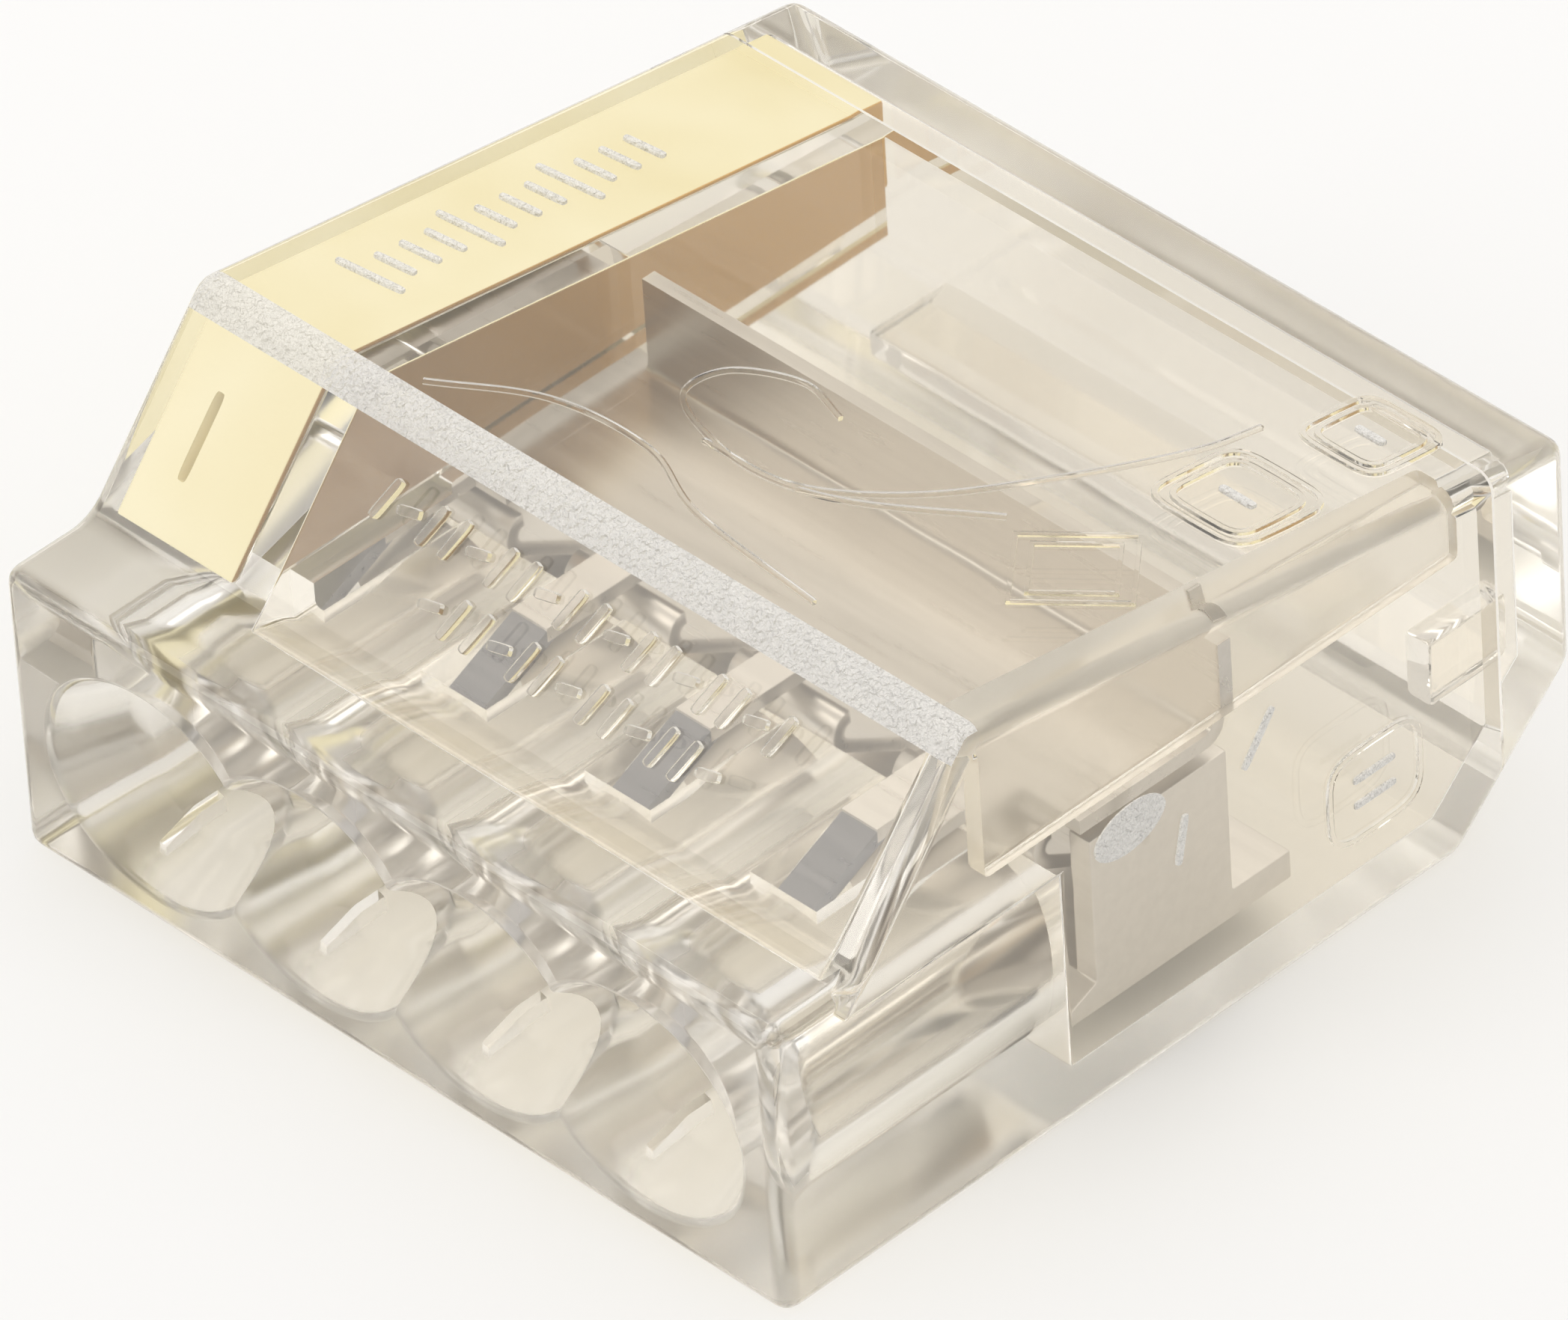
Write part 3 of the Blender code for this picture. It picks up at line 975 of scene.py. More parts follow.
@dataclass
class HousingMarks:
    """Plain marks on the housing. Places are in the coordinates of the face that carries them."""

    scale_across: float = -7.35 * MM
    scale_start: float = 2.2 * MM
    scale_pitch: float = 0.6 * MM
    scale_count: int = 12
    scale_long_every: int = 4
    scale_long: float = 1.5 * MM
    scale_short: float = 0.9 * MM
    scale_width: float = 0.16 * MM
    scale_turn: float = 0.12
    squares: tuple[tuple[tuple[float, float], float], ...] = (
        ((7.1 * MM, 8.75 * MM), 1.15 * MM),
        ((7.2 * MM, 11.9 * MM), 0.95 * MM),
    )
    square_power: float = 5.0
    inner_square: float = 0.78
    square_bar: float = 0.7
    square_bar_width: float = 0.18 * MM
    lozenge_centre: tuple[float, float] = (6.9 * MM, 5.0 * MM)
    lozenge_half: tuple[float, float] = (1.4 * MM, 1.6 * MM)
    inner_lozenge: float = 0.72
    rib_height: float = 0.09 * MM
    rib_width: float = 0.12 * MM
    rib_paths: tuple[tuple[tuple[float, float], ...], ...] = (
        ((0.6, 5.6), (-0.6, 5.9), (-1.7, 5.2), (-1.7, 4.1), (-0.6, 3.5), (1.0, 3.3), (2.6, 3.9), (4.6, 5.6)),
        ((-0.4, 3.3), (1.6, 3.5), (3.2, 5.0), (4.4, 7.4), (5.2, 9.6), (5.4, 11.0)),
        ((-4.8, 0.9), (-3.0, 2.2), (-0.8, 2.4), (1.2, 1.6), (4.4, 1.2)),
    )
    row_pitch: float = 0.56 * MM
    rows: tuple[tuple[float, float, int], ...] = ((2.95 * MM, -3.6 * MM, 18), (1.75 * MM, -1.8 * MM, 13))
    dash_height: float = 0.12 * MM
    dash_width: float = 0.20 * MM
    upright_dash: tuple[float, float] = (0.85 * MM, 1.25)
    level_dash: tuple[float, float] = (0.5 * MM, 0.2)
    pad_height: float = 0.05 * MM
    pad_centre: tuple[float, float] = (8.5 * MM, 5.55 * MM)
    pad_size: tuple[float, float] = (1.7 * MM, 1.0 * MM)
    pad_turn: float = 0.1
    side_dashes: tuple[tuple[tuple[float, float], float, float, float], ...] = (
        ((9.7 * MM, 4.55 * MM), 1.0 * MM, 0.17 * MM, 1.35),
        ((11.6 * MM, 5.6 * MM), 1.2 * MM, 0.17 * MM, 0.9),
    )
    frame_centre: tuple[float, float] = (14.3 * MM, 2.95 * MM)
    frame_half: tuple[float, float] = (1.1 * MM, 0.95 * MM)
    frame_power: float = 4.0
    frame_dashes: tuple[tuple[tuple[float, float], float, float, float], ...] = (
        ((14.3 * MM, 3.25 * MM), 1.0 * MM, 0.16 * MM, 0.0),
        ((14.3 * MM, 2.7 * MM), 1.0 * MM, 0.16 * MM, 0.0),
    )

    def top(self) -> list[bpy.types.Object]:
        """On the top: a strip-length scale over the colour block, two rounded squares and a lozenge.

        Returns:
            The marks.
        """
        scale = RaisedMarks(Face.top(), surface=Surface.FROSTED)
        made = []
        for number in range(self.scale_count):
            length = self.scale_short if number % self.scale_long_every else self.scale_long
            centre = (self.scale_across, self.scale_start + number * self.scale_pitch)
            made.append(scale.bar(centre, length, self.scale_width, self.scale_turn))
        marks = RaisedMarks(Face.top())
        for centre, half in self.squares:
            for share in (1.0, self.inner_square):
                made.append(marks.outline(centre, (half * share, half * share), self.square_power))
            made.append(scale.bar(centre, half * self.square_bar, self.square_bar_width))
        (right, rear), middle = self.lozenge_half, np.array(self.lozenge_centre)[:, None]
        lozenge = np.array([(0.0, -rear), (right, 0.0), (0.0, rear), (-right, 0.0)]).T
        for share in (1.0, self.inner_lozenge):
            made.append(marks.line_along(lozenge * share + middle, closed=True))
        return made

    def ceiling(self) -> list[bpy.types.Object]:
        """Under the ceiling: thin curved ribs, smooth curves through a few (X, back) points in millimetres.

        Returns:
            The ribs.
        """
        marks = RaisedMarks(Face.ceiling(), height=self.rib_height, line=self.rib_width)
        made = []
        for points in self.rib_paths:
            path = smooth_path(np.array(points) * MM)
            made.append(marks.line_along(np.stack([-path[:, 0], path[:, 1]]), closed=False))
        return made

    def slope(self) -> list[bpy.types.Object]:
        """On the slope: two rows of dashes, of which every third is level.

        Returns:
            The dashes.
        """
        marks = RaisedMarks(Face.slope(), height=self.dash_height, surface=Surface.MATT)
        made = []
        for row, (along, start, count) in enumerate(self.rows):
            for number in range(count):
                length, turn = self.level_dash if (number + row) % 3 == 1 else self.upright_dash
                centre = (start + number * self.row_pitch, along)
                made.append(marks.bar(centre, length, self.dash_width, turn))
        return made

    def side(self) -> list[bpy.types.Object]:
        """On the right side: an oval pad, two dashes, and a small rounded frame with two dashes in it.

        Returns:
            The marks.
        """
        low = RaisedMarks(Face.right(), height=self.pad_height, surface=Surface.FROSTED)
        made = [low.bar(self.pad_centre, *self.pad_size, self.pad_turn, 2.0)]
        made += [low.bar(*dash) for dash in self.side_dashes]
        made.append(RaisedMarks(Face.right()).outline(self.frame_centre, self.frame_half, self.frame_power))
        return made + [low.bar(*dash) for dash in self.frame_dashes]

    def build(self) -> list[bpy.types.Object]:
        """Makes every mark, ready to be added to the housing."""
        return [*self.top(), *self.ceiling(), *self.slope(), *self.side()]


@dataclass
class ClearHousing:
    """Clear wedge with four funnel ports, the chambers behind them and the pocket for the colour block."""

    corner: float = 0.35 * MM
    corner_steps: int = 5
    inner_corner: float = 0.10 * MM
    port_radius: float = 1.75 * MM
    mouth_half_width: float = 2.5 * MM
    mouth_half_height: float = 2.2 * MM
    funnel_depth: float = 1.65 * MM
    port_block: float = 7.2 * MM
    port_roof: float = 0.4 * MM
    port_sides: int = 72
    lip_round: float = 0.12 * MM
    down: float = -0.25
    up: float = 0.3
    sideways: float = 0.5
    mid_height: float = 4.7 * MM
    spring_space: float = 11.9 * MM
    rib_foot: float = 5.8 * MM
    overlap: float = 0.5 * MM
    reach: float = 2.0 * MM
    ledge_foot: float = 6.1 * MM
    ledge_thickness: float = 0.45 * MM
    slot_half_width: float = 0.80 * MM
    slot_front: float = 3.9 * MM
    slot_bend: float = 5.9 * MM
    slot_floor: tuple[float, float] = (4.05 * MM, 4.95 * MM)
    groove: tuple[float, float, float, float] = (0.8 * MM, 2.2 * MM, 0.72 * MM, 1.5 * MM)
    groove_offset: float = 0.66 * MM
    groove_width: float = 0.16 * MM

    def shell(self, name: str) -> bpy.types.Object:
        """The whole outer wedge, rounded along its edges.

        Args:
            name: Name of the piece.

        Returns:
            The closed wedge.
        """
        body = prism(name, LAYOUT.outline(), -LAYOUT.width / 2, LAYOUT.width / 2)
        soften(body, self.corner, self.corner_steps)
        return body

    def finish_outside(self, body: bpy.types.Object) -> None:
        """Sorts the outer faces by finish. Frosted are those past the strip's start on the slope and before
        the end of the ridge's rounding, whose normals point up; matt are those that point down; the rest are
        polished.

        Args:
            body: The outer wedge.
        """
        mesh = body.data
        count = len(mesh.polygons)
        centres, normals = np.empty(count * 3), np.empty(count * 3)
        mesh.polygons.foreach_get("center", centres)
        mesh.polygons.foreach_get("normal", normals)
        centres, normals = centres.reshape(-1, 3), normals.reshape(-1, 3)
        above = centres[:, 2] > LAYOUT.height - LAYOUT.frost_drop
        before = centres[:, 1] < LAYOUT.y(LAYOUT.ridge + self.corner)
        facing = (normals[:, 2] > self.up) & (np.abs(normals[:, 0]) < self.sideways)
        surface = np.where(normals[:, 2] < self.down, Surface.MATT.value, Surface.POLISHED.value)
        surface = np.where(above & before & facing, Surface.FROSTED.value, surface)
        mesh.polygons.foreach_set("material_index", surface.astype(np.int32))

    def port_tool(self, centre: float) -> bpy.types.Object:
        """Funnel that narrows in a straight line from an elliptical mouth to a round barrel; at the mouth its
        radii also grow along a quarter circle, which rounds the lip. Each ring is an ellipse in the angle.

        Args:
            centre: X of the port's middle.

        Returns:
            The closed cutter.
        """
        depth = np.concatenate(
            [
                [-self.reach / 2],
                self.lip_round * (1 - np.cos(np.linspace(0.0, math.pi / 2, 5))),
                np.linspace(self.lip_round, self.funnel_depth, 6)[1:],
                [self.port_block + self.reach / 2],
            ]
        )
        along = np.clip(1 - depth / self.funnel_depth, 0.0, 1.0)
        inside = np.clip(1 - depth / self.lip_round, 0.0, 1.0)
        lip = self.lip_round * (1 - np.sqrt(1 - inside**2))
        half_width = self.port_radius + (self.mouth_half_width - self.port_radius) * along + lip
        half_height = self.port_radius + (self.mouth_half_height - self.port_radius) * along + lip
        angle = np.linspace(0.0, 2 * math.pi, self.port_sides, endpoint=False)
        rings = np.stack(
            [
                centre + half_width[:, None] * np.cos(angle),
                np.broadcast_to(LAYOUT.y(depth)[:, None], (len(depth), len(angle))),
                LAYOUT.port_height + half_height[:, None] * np.sin(angle),
            ],
            axis=-1,
        )
        return finish_with(loft("cut_port", rings), Surface.MATT)

    def under_roof(self, foot: float, rear: float) -> np.ndarray:
        """Outline of a space under the slope and the top wall.

        Args:
            foot: Height of its floor.
            rear: Distance of its rear end.

        Returns:
            The (distance, height) corners.
        """
        return np.array(
            [
                (LAYOUT.slope(foot, LAYOUT.slope_wall), foot),
                (rear, foot),
                (rear, LAYOUT.top(rear) - LAYOUT.top_wall),
                LAYOUT.inner_ridge(LAYOUT.slope_wall, LAYOUT.top_wall),
            ]
        )

    def chamber_tools(self) -> list[bpy.types.Object]:
        """Cutters for the wire chamber, the upper chamber, the space round the metal and the block's pocket.

        Returns:
            The cutters, in the order in which they are used.
        """
        inner = LAYOUT.width / 2 - LAYOUT.side_wall
        rear = LAYOUT.seam + self.reach
        pitch = LAYOUT.chamfer_height / LAYOUT.chamfer_length
        rise = LAYOUT.floor * math.hypot(1.0, pitch)
        floor_end = LAYOUT.depth - LAYOUT.chamfer_length + (LAYOUT.floor - rise) / pitch
        low = self.mid_height - self.overlap
        wire = np.array(
            [
                (self.port_block, LAYOUT.floor),
                (floor_end, LAYOUT.floor),
                (rear, LAYOUT.chamfer(rear) + rise),
                (rear, self.mid_height),
                (self.port_block, self.mid_height),
            ]
        )
        roof = LAYOUT.port_height + self.port_radius + self.port_roof
        behind = block_outline(self.spring_space - self.overlap, rear, low, self.rib_foot)
        under = block_outline(self.port_block, rear, low, self.rib_foot + self.overlap / 2)
        beneath = block_outline(self.port_block, self.spring_space, low, self.rib_foot)
        left, right = LAYOUT.pocket_left, LAYOUT.rib_left
        spaces = (
            ("wire_chamber", wire, -inner, inner),
            ("upper_chamber", self.under_roof(roof, rear), LAYOUT.rib_right, inner),
            ("rear_space", behind, LAYOUT.rib_right, inner),
            ("block_pocket", self.under_roof(self.rib_foot, rear), left, right),
            ("below_pocket", under, -inner, right),
            ("below_rib", beneath, -inner, inner),
            ("below_block", behind, left, right),
        )
        tools = []
        for name, outline, start, end in spaces:
            tool = prism(name, outline, start, end)
            soften(tool, self.inner_corner, 2)
            tools.append(finish_with(tool, Surface.SATIN))
        return tools

    def slot_tool(self, centre: float) -> bpy.types.Object:
        """Slot in the roof of the port block for a spring neck: its floor rises, then runs level to the rear.

        Args:
            centre: X of the port's middle.

        Returns:
            The closed cutter.
        """
        top = LAYOUT.port_height + self.port_radius + self.port_roof + self.overlap
        front, end, half = self.slot_front, self.port_block + self.reach / 2, self.slot_half_width
        low, high = self.slot_floor
        outline = np.array([(front, low), (self.slot_bend, high), (end, high), (end, top), (front, top)])
        return finish_with(prism("cut_slot", outline, centre - half, centre + half), Surface.MATT)

    def groove_tool(self, centre: float) -> bpy.types.Object:
        """Thin groove along the floor of one funnel, a little to its left.

        Args:
            centre: X of the port's middle.

        Returns:
            The closed cutter.
        """
        front, rear, low, high = self.groove
        left = centre - self.groove_offset
        outline = block_outline(front, rear, low, high)
        return prism("cut_groove", outline, left - self.groove_width / 2, left + self.groove_width / 2)

    def ledge(self) -> bpy.types.Object:
        """Step that thickens the right wall above the metal, under the top wall.

        Returns:
            The closed step.
        """
        inner = LAYOUT.width / 2 - LAYOUT.side_wall
        front, rear = LAYOUT.ridge + self.overlap, LAYOUT.seam - self.overlap
        outline = np.array(
            [
                (front, self.ledge_foot),
                (rear, self.ledge_foot),
                (rear, LAYOUT.top(rear) - LAYOUT.top_wall / 2),
                (front, LAYOUT.top(front) - LAYOUT.top_wall / 2),
            ]
        )
        step = prism("right_ledge", outline, inner - self.ledge_thickness, inner + LAYOUT.side_wall / 2)
        soften(step, self.inner_corner, 2)
        return finish_with(step, Surface.MILKY)

    def build(self, finishes: Finishes) -> bpy.types.Object:
        """Carves the housing, adds its marks, shades it and puts it on the root body.

        Args:
            finishes: Every material of the connector.

        Returns:
            The finished housing.
        """
        body = self.shell("clear_housing")
        for finish in (finishes.clear, finishes.frosted, finishes.satin, finishes.matt, finishes.milky):
            body.data.materials.append(finish)
        self.finish_outside(body)
        past = self.reach
        beyond = block_outline(LAYOUT.seam, LAYOUT.depth + past, -past, LAYOUT.height + past)
        combine(body, [prism("beyond_seam", beyond, -LAYOUT.width, LAYOUT.width)], Join.CUT)
        combine(body, self.chamber_tools(), Join.CUT)
        centres = LAYOUT.port_centres()
        combine(body, [self.slot_tool(centre) for centre in centres], Join.CUT)
        combine(body, [self.port_tool(centre) for centre in centres], Join.CUT)
        combine(body, [self.groove_tool(centre) for centre in centres], Join.CUT)
        combine(body, [self.ledge()], Join.ADD)
        combine(body, HousingMarks().build(), Join.ADD)
        shade(body)
        dress(body, [finishes.clear], "root", "clear_plastic", "housing")
        return body


# --------------------------------------------------------------------------------------------------
# Rear cap and colour block
# --------------------------------------------------------------------------------------------------


@dataclass
class RearCap:
    """Clear cap that closes the rear, with two latch tongues and a lip that reach into the housing."""

    gap: float = 0.3 * MM
    back_wall: float = 1.0 * MM
    plug_front: float = 16.4 * MM
    pocket_foot: float = 4.6 * MM
    latch_thickness: float = 0.6 * MM
    latch_bottom: float = 2.9 * MM
    latch_top: float = 4.3 * MM
    lip_bottom: float = 2.75 * MM
    lip_thickness: float = 0.6 * MM
    lip_half_width: float = 5.0 * MM
    reach: float = 2.0 * MM
    seam_gap: float = 0.06 * MM

    def hollows(self, front: float, inner_corner: float) -> list[bpy.types.Object]:
        """Cutters for the inside of the cap and for the end of the colour block's pocket.

        Args:
            front: Distance of the cap's front.
            inner_corner: Rounding of the inner edges.

        Returns:
            The cutters.
        """
        inner = LAYOUT.width / 2 - LAYOUT.side_wall
        back = LAYOUT.depth - self.back_wall
        rise = self.back_wall * math.hypot(1.0, LAYOUT.chamfer_height / LAYOUT.chamfer_length)
        start = front - self.reach
        hollow = np.array(
            [
                (start, LAYOUT.chamfer(start) + rise),
                (back, LAYOUT.chamfer(back) + rise),
                (back, LAYOUT.top(back) - LAYOUT.top_wall),
                (start, LAYOUT.top(start) - LAYOUT.top_wall),
            ]
        )
        pocket = np.array([(start, self.pocket_foot), (back, self.pocket_foot), *hollow[2:]])
        spaces = [
            prism("cap_hollow", hollow, -inner, inner),
            prism("cap_pocket", pocket, LAYOUT.pocket_left, LAYOUT.rib_left),
        ]
        for space in spaces:
            soften(space, inner_corner, 2)
            finish_with(space, Surface.SATIN)
        return spaces

    def tongues(self, inner_corner: float) -> list[bpy.types.Object]:
        """A latch tongue beside each side wall, and the lip between them.

        Args:
            inner_corner: Rounding of their edges.

        Returns:
            The closed tongues.
        """
        anchored = LAYOUT.depth - self.back_wall / 2
        latch = block_outline(self.plug_front, anchored, self.latch_bottom, self.latch_top)
        outside = LAYOUT.width / 2 - LAYOUT.side_wall - self.gap
        made = [
            prism("latch", latch, left, left + self.latch_thickness)
            for left in (-outside, outside - self.latch_thickness)
        ]
        lip = block_outline(self.plug_front, anchored, self.lip_bottom, self.lip_bottom + self.lip_thickness)
        made.append(prism("lip", lip, -self.lip_half_width, self.lip_half_width))
        for tongue in made:
            soften(tongue, inner_corner, 2)
        return made

    def build(self, finishes: Finishes) -> bpy.types.Object:
        """Cuts the cap from the outer wedge, hollows it and adds its latches and lip.

        Args:
            finishes: Every material of the connector.

        Returns:
            The finished cap.
        """
        housing = ClearHousing()
        cap = housing.shell("clear_rear_cap")
        for finish in (finishes.clear, finishes.frosted, finishes.satin, finishes.matt):
            cap.data.materials.append(finish)
        housing.finish_outside(cap)
        front = LAYOUT.seam + self.seam_gap
        before = block_outline(-self.reach, front, -self.reach, LAYOUT.height + self.reach)
        ahead = prism("ahead_of_seam", before, -LAYOUT.width, LAYOUT.width)
        combine(cap, [ahead, *self.hollows(front, housing.inner_corner)], Join.CUT)
        combine(cap, self.tongues(housing.inner_corner), Join.ADD)
        shade(cap)
        dress(cap, [finishes.clear], "root", "clear_plastic", "rear_cap")
        return cap


@dataclass
class ColourBlock:
    """Yellow block that fills the pocket beside the rib, moulded tight against the clear walls."""

    bite: float = 0.02 * MM
    right: float = -6.16 * MM
    foot: float = 5.8 * MM
    rear_foot: float = 4.9 * MM
    step: float = 12.3 * MM
    rear_wall: float = 1.1 * MM
    corner: float = 0.06 * MM
    slit_length: float = 1.7 * MM
    slit_width: float = 0.22 * MM
    slit_depth: float = 0.35 * MM
    slit_centre: tuple[float, float] = (-8.1 * MM, 2.1 * MM)

    def build(self, finishes: Finishes) -> bpy.types.Object:
        """Sweeps the block's outline across the pocket, rounds it and cuts the slit in its front slope.

        Args:
            finishes: Every material of the connector.

        Returns:
            The finished block.
        """
        rear = LAYOUT.depth - self.rear_wall
        slope_wall, top_wall = LAYOUT.slope_wall - self.bite, LAYOUT.top_wall - self.bite
        outline = np.array(
            [
                (LAYOUT.slope(self.foot, slope_wall), self.foot),
                (self.step, self.foot),
                (self.step, self.rear_foot),
                (rear, self.rear_foot),
                (rear, LAYOUT.top(rear) - top_wall),
                LAYOUT.inner_ridge(slope_wall, top_wall),
            ]
        )
        block = prism("yellow_colour_block", outline, LAYOUT.pocket_left - self.bite, self.right)
        soften(block, self.corner, 2)
        marks = RaisedMarks(Face.slope(), self.slit_depth - slope_wall, self.slit_depth + slope_wall)
        combine(block, [marks.bar(self.slit_centre, self.slit_width, self.slit_length)], Join.CUT)
        shade(block)
        dress(block, [finishes.yellow], "root", "yellow_plastic", "color_block")
        return block


# --------------------------------------------------------------------------------------------------
# Metal
# --------------------------------------------------------------------------------------------------


@dataclass
class ContactSheets:
    """Tin-plated busbar trough under the wires and the spring-steel plate with its necks above them."""

    front: float = 7.6 * MM
    back: float = 11.6 * MM
    half_width: float = 8.1 * MM
    bar_bottom: float = 1.2 * MM
    bar_thickness: float = 0.6 * MM
    bar_back: float = 13.0 * MM
    lead_in: float = 0.7 * MM
    cheek_thickness: float = 0.5 * MM
    cheek_top: float = 4.9 * MM
    sheet: float = 0.3 * MM
    plate_bottom: float = 5.2 * MM
    flange_top: float = 7.5 * MM
    neck_width: float = 0.85 * MM
    neck_front: float = 4.1 * MM
    neck_bend: float = 5.9 * MM
    neck_angle: float = math.radians(25)
    plate_lead: float = 0.5 * MM
    bend_radius: float = 0.35 * MM
    edge: float = 0.04 * MM
    edge_angle: float = 35.0

    def busbar(self, finishes: Finishes) -> bpy.types.Object:
        """Bottom plate with a lead-in edge, and a cheek bent up at each end.

        Args:
            finishes: Every material of the connector.

        Returns:
            The finished busbar.
        """
        middle, top = self.bar_bottom + self.bar_thickness / 2, self.bar_bottom + self.bar_thickness
        plate = np.array(
            [
                (self.front, self.bar_bottom),
                (self.bar_back, self.bar_bottom),
                (self.bar_back, top),
                (self.front + self.lead_in, top),
                (self.front, middle),
            ]
        )
        bar = prism("tin_busbar", plate, -self.half_width, self.half_width)
        cheek = block_outline(self.front + self.lead_in, self.back, middle, self.cheek_top)
        cheeks = []
        for left in (-self.half_width, self.half_width - self.cheek_thickness):
            cheeks.append(prism("cheek", cheek, left, left + self.cheek_thickness))
        combine(bar, cheeks, Join.ADD)
        soften(bar, self.edge, 2, self.edge_angle)
        shade(bar)
        dress(bar, [finishes.tin], "root", "tinned_copper", "busbar")
        return bar

    def spring_plate(self, finishes: Finishes) -> bpy.types.Object:
        """Plate with an upright rear flange, and four necks bent down to the front, whose steel is painted
        darker as shade.

        Args:
            finishes: Every material of the connector.

        Returns:
            The finished plate.
        """
        bottom, top = self.plate_bottom, self.plate_bottom + self.sheet
        middle = self.plate_bottom + self.sheet / 2
        bend = [
            (self.front + self.plate_lead, middle),
            (self.back - self.sheet / 2, middle),
            (self.back - self.sheet / 2, self.flange_top),
        ]
        folded = strip_outline(round_corners(np.array(bend), self.bend_radius), self.sheet)
        plate = prism("spring_plate_folded", folded, LAYOUT.rib_right + self.sheet, self.half_width)
        level = block_outline(self.front + self.sheet, self.back, bottom, top)
        left_end = prism("left_end", level, -self.half_width, LAYOUT.rib_right + 2 * self.sheet)
        drop = (self.neck_bend - self.neck_front) * math.tan(self.neck_angle)
        fall = np.array([(self.neck_front, middle - drop), (self.neck_bend, middle)])
        slant = strip_outline(fall, self.sheet)
        start = self.neck_bend - self.sheet / 2
        stem = block_outline(start, self.front + 2 * self.sheet, bottom, top)
        half = self.neck_width / 2
        necks = []
        for centre in LAYOUT.port_centres():
            necks.append(prism("neck_stem", stem, centre - half, centre + half))
            # Each slanted neck takes the darker steel, which is painted shade.
            necks.append(finish_with(prism("neck", slant, centre - half, centre + half), Steel.NECK_SHADE))
        for finish in (finishes.spring, finishes.blued):
            plate.data.materials.append(finish)
        combine(plate, [left_end, *necks], Join.ADD)
        soften(plate, self.edge, 2, self.edge_angle)
        shade(plate, self.edge_angle)
        dress(plate, [finishes.spring], "root", "spring_steel", "spring_plate")
        return plate

    def build(self, finishes: Finishes) -> list[bpy.types.Object]:
        """Builds both sheets on the root body."""
        return [self.busbar(finishes), self.spring_plate(finishes)]


@dataclass
class SpringTongue:
    """Curled spring tongue of one port, which swings about the middle of its curl."""

    number: int
    centre: float
    hinge_distance: float = 8.2 * MM
    hinge_height: float = 4.45 * MM
    curl: float = 0.3 * MM
    thickness: float = 0.3 * MM
    width: float = 2.6 * MM
    tip_width: float = 1.9 * MM
    angle: float = math.radians(30)
    tip_height: float = 2.25 * MM
    curl_steps: int = 20
    straight_steps: int = 8
    edge: float = 0.05 * MM
    edge_angle: float = 40.0

    def centre_line(self) -> np.ndarray:
        """Arc round the hinge from its top forwards and down, then a straight run down to the rear.

        Returns:
            The (distance, height) points, array of shape (n, 2).
        """
        turn = np.linspace(math.pi / 2, 1.5 * math.pi - self.angle, self.curl_steps)
        arc = np.stack([np.cos(turn), np.sin(turn)], axis=-1) * self.curl
        arc += np.array([self.hinge_distance, self.hinge_height])
        run = (arc[-1, 1] - self.tip_height) / math.tan(self.angle)
        share = np.linspace(0.0, 1.0, self.straight_steps + 1)[1:, None]
        straight = arc[-1] + share * np.array([run, self.tip_height - arc[-1, 1]])
        return np.concatenate([arc, straight])

    def build(self, finishes: Finishes) -> bpy.types.Object:
        """Carries a flat rectangle along the centre line; its width narrows evenly over the last third.

        Args:
            finishes: Every material of the connector.

        Returns:
            The finished tongue.
        """
        line = self.centre_line()
        along = np.gradient(line, axis=0)
        along /= np.linalg.norm(along, axis=1, keepdims=True)
        across = np.stack([-along[:, 1], along[:, 0]], axis=-1) * self.thickness / 2
        steps = np.linalg.norm(np.diff(line, axis=0), axis=1)
        share = np.concatenate([[0.0], np.cumsum(steps)]) / steps.sum()
        half = (self.width - (self.width - self.tip_width) * np.clip(3 * share - 2, 0.0, 1.0)) / 2
        rings = []
        for side, face in ((-1, -1), (1, -1), (1, 1), (-1, 1)):
            point = line + across * face
            rings.append(np.stack([self.centre + side * half, LAYOUT.y(point[:, 0]), point[:, 1]], axis=-1))
        tongue = loft(f"curled_tongue_{self.number}", np.stack(rings, axis=1))
        soften(tongue, self.edge, 2, self.edge_angle)
        shade(tongue)
        body, node = f"tongue_{self.number}", f"spring_tongue_{self.number}"
        dress(tongue, [finishes.spring], body, "spring_steel", node)
        return tongue


# --------------------------------------------------------------------------------------------------
# Stage
# --------------------------------------------------------------------------------------------------


def sphere_direction(azimuth: float, elevation: float) -> Vector:
    """Unit vector towards a place on a sphere, by its azimuth from the front and its elevation.

    Args:
        azimuth: Angle in degrees from -Y towards +X.
        elevation: Angle in degrees above the floor.

    Returns:
        The direction.
    """
    turn, tilt = math.radians(azimuth), math.radians(elevation)
    return Vector((math.sin(turn) * math.cos(tilt), -math.cos(turn) * math.cos(tilt), math.sin(tilt)))


@dataclass
class Softbox:
    """One square or oblong studio lamp that faces the connector."""

    name: str
    azimuth: float
    elevation: float
    distance: float
    size: tuple[float, float]
    power: float
    colour: tuple[float, float, float] = (1.0, 0.99, 0.975)

    def build(self, target: Vector) -> bpy.types.Object:
        """Places the lamp on a sphere round the target and turns it to face it.

        Args:
            target: Middle of the sphere.

        Returns:
            The lamp.
        """
        away = sphere_direction(self.azimuth, self.elevation)
        data = bpy.data.lights.new(self.name, "AREA")
        data.shape, data.size, data.size_y = "RECTANGLE", *self.size
        data.energy, data.color = self.power, self.colour
        lamp = bpy.data.objects.new(self.name, data)
        lamp.location = target + away * self.distance
        lamp.rotation_mode = "QUATERNION"
        lamp.rotation_quaternion = (-away).to_track_quat("-Z", "Y")
        bpy.context.scene.collection.objects.link(lamp)
        return lamp


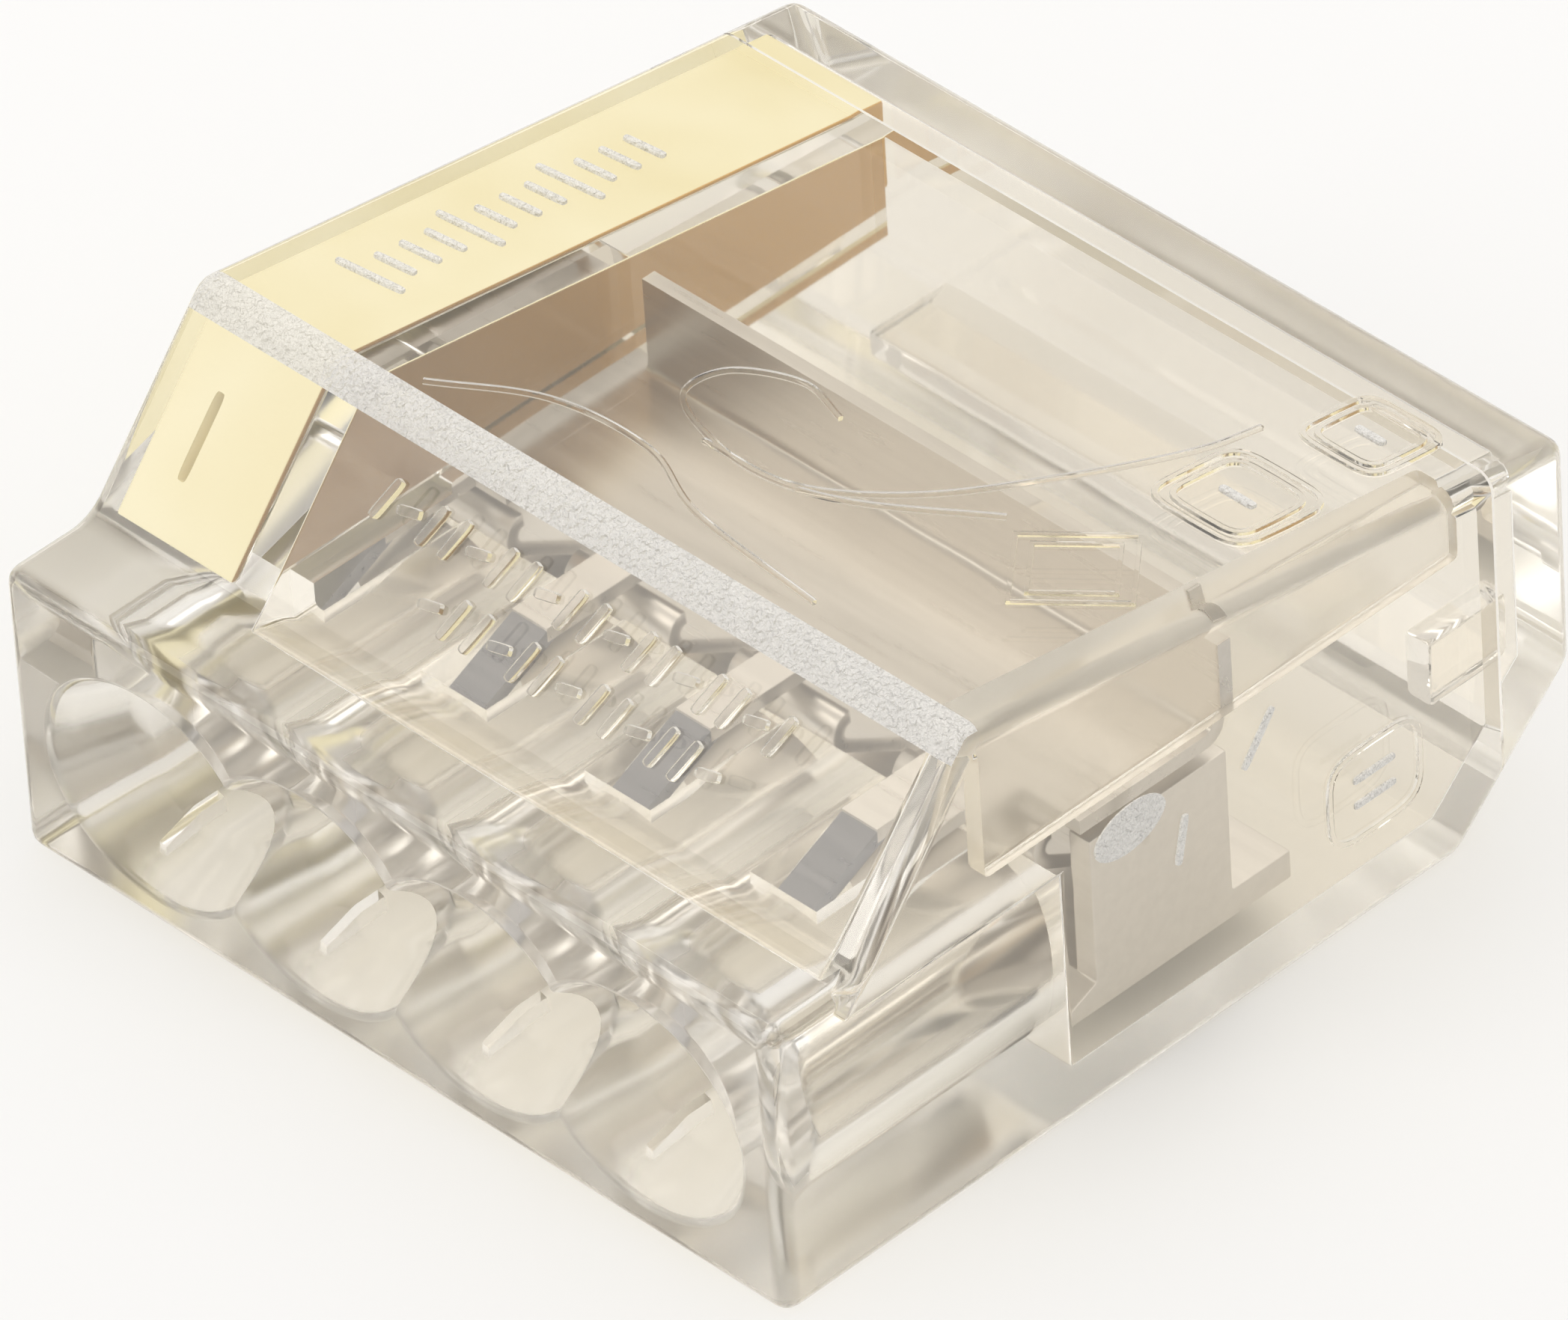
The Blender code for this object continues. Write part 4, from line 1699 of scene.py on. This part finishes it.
@dataclass
class Studio:
    """Pale floor, soft lamps, a plain surround and the camera."""

    azimuth: float = 47.743
    elevation: float = 39.37
    roll: float = -3.81
    distance: float = 375.365 * MM
    off_axis: tuple[float, float] = (-0.049 * MM, 1.208 * MM)
    aim_height: float = 5.0 * MM
    aim_back: float = 9.5 * MM
    sensor: float = 36.0
    lens: float = 502.6
    floor_half: float = 0.45
    air_gap: float = 0.03 * MM
    floor_colour: tuple[float, float, float] = (0.91, 0.92, 0.935)
    surround_colour: tuple[float, float, float] = (0.88, 0.855, 0.82)
    surround_strength: float = 0.80

    def camera(self) -> bpy.types.Object:
        """A long lens that looks down on a front corner, slightly rolled.

        Returns:
            The scene's camera.
        """
        turn, roll = math.radians(self.azimuth), math.radians(self.roll)
        back = sphere_direction(self.azimuth, self.elevation)
        level = Vector((math.cos(turn), math.sin(turn), 0.0))
        upright = back.cross(level)
        right = level * math.cos(roll) + upright * math.sin(roll)
        up = upright * math.cos(roll) - level * math.sin(roll)
        aim = Vector((0.0, LAYOUT.y(self.aim_back), self.aim_height))
        place = aim - right * self.off_axis[0] - up * self.off_axis[1] + back * self.distance
        data = bpy.data.cameras.new("camera")
        data.lens, data.sensor_width, data.sensor_fit = self.lens, self.sensor, "HORIZONTAL"
        data.clip_start, data.clip_end = 0.01, 10.0
        camera = bpy.data.objects.new("camera", data)
        camera.matrix_world = Matrix.Translation(place) @ Matrix((right, up, back)).transposed().to_4x4()
        bpy.context.scene.collection.objects.link(camera)
        bpy.context.scene.camera = camera
        return camera

    def floor(self) -> bpy.types.Object:
        """Flat pale sheet, a hair below the connector, so that air stays under its clear bottom.

        Returns:
            The sheet.
        """
        level = LAYOUT.bottom - self.air_gap
        signs = np.array([(-1, -1), (1, -1), (1, 1), (-1, 1)])
        corners = np.column_stack([signs * self.floor_half, np.full(len(signs), level)])
        sheet = mesh_piece("floor", corners, [[0, 1, 2, 3]])
        made, nodes, shader = start_material("pale_floor")
        nodes.fill(shader, Base_Color=(*self.floor_colour, 1.0), Roughness=0.9, Specular_IOR_Level=0.1)
        sheet.data.materials.append(made)
        return sheet

    def surround(self) -> None:
        """Even warm grey light from everywhere that no lamp covers."""
        world = bpy.data.worlds.new("surround")
        world.use_nodes = True
        background = world.node_tree.nodes["Background"]
        background.inputs["Color"].default_value = (*self.surround_colour, 1.0)
        background.inputs["Strength"].default_value = self.surround_strength
        bpy.context.scene.world = world

    def lamps(self) -> None:
        """Overhead softbox, a front-left fill and a rear strip."""
        target = Vector((0.0, 0.0, LAYOUT.height / 2))
        for lamp in (
            Softbox("overhead", azimuth=200.0, elevation=72.0, distance=0.55, size=(0.50, 0.50), power=1.15),
            Softbox("left_fill", azimuth=-35.0, elevation=35.0, distance=0.60, size=(0.40, 0.30), power=0.5),
            Softbox("rear_strip", azimuth=235.0, elevation=14.0, distance=0.60, size=(0.40, 0.10), power=0.2),
        ):
            lamp.build(target)

    def build(self) -> None:
        """Sets the stage and the way light is traced through the clear walls."""
        self.camera()
        self.floor()
        self.surround()
        self.lamps()
        scene = bpy.context.scene
        scene.view_settings.view_transform = "Standard"
        scene.cycles.max_bounces = 24
        scene.cycles.transmission_bounces = 24
        scene.cycles.glossy_bounces = 16
        scene.cycles.diffuse_bounces = 4
        scene.cycles.transparent_max_bounces = 24
        scene.cycles.sample_clamp_indirect = 6.0


def main() -> None:
    """Builds the stage, then each sub-assembly in order."""
    logging.basicConfig(level=logging.INFO, format="%(name)s: %(message)s")
    Studio().build()
    finishes = Finishes.make()
    ClearHousing().build(finishes)
    RearCap().build(finishes)
    ColourBlock().build(finishes)
    ContactSheets().build(finishes)
    for number, centre in enumerate(LAYOUT.port_centres(), 1):
        SpringTongue(number, float(centre)).build(finishes)


if __name__ == "__main__":
    main()
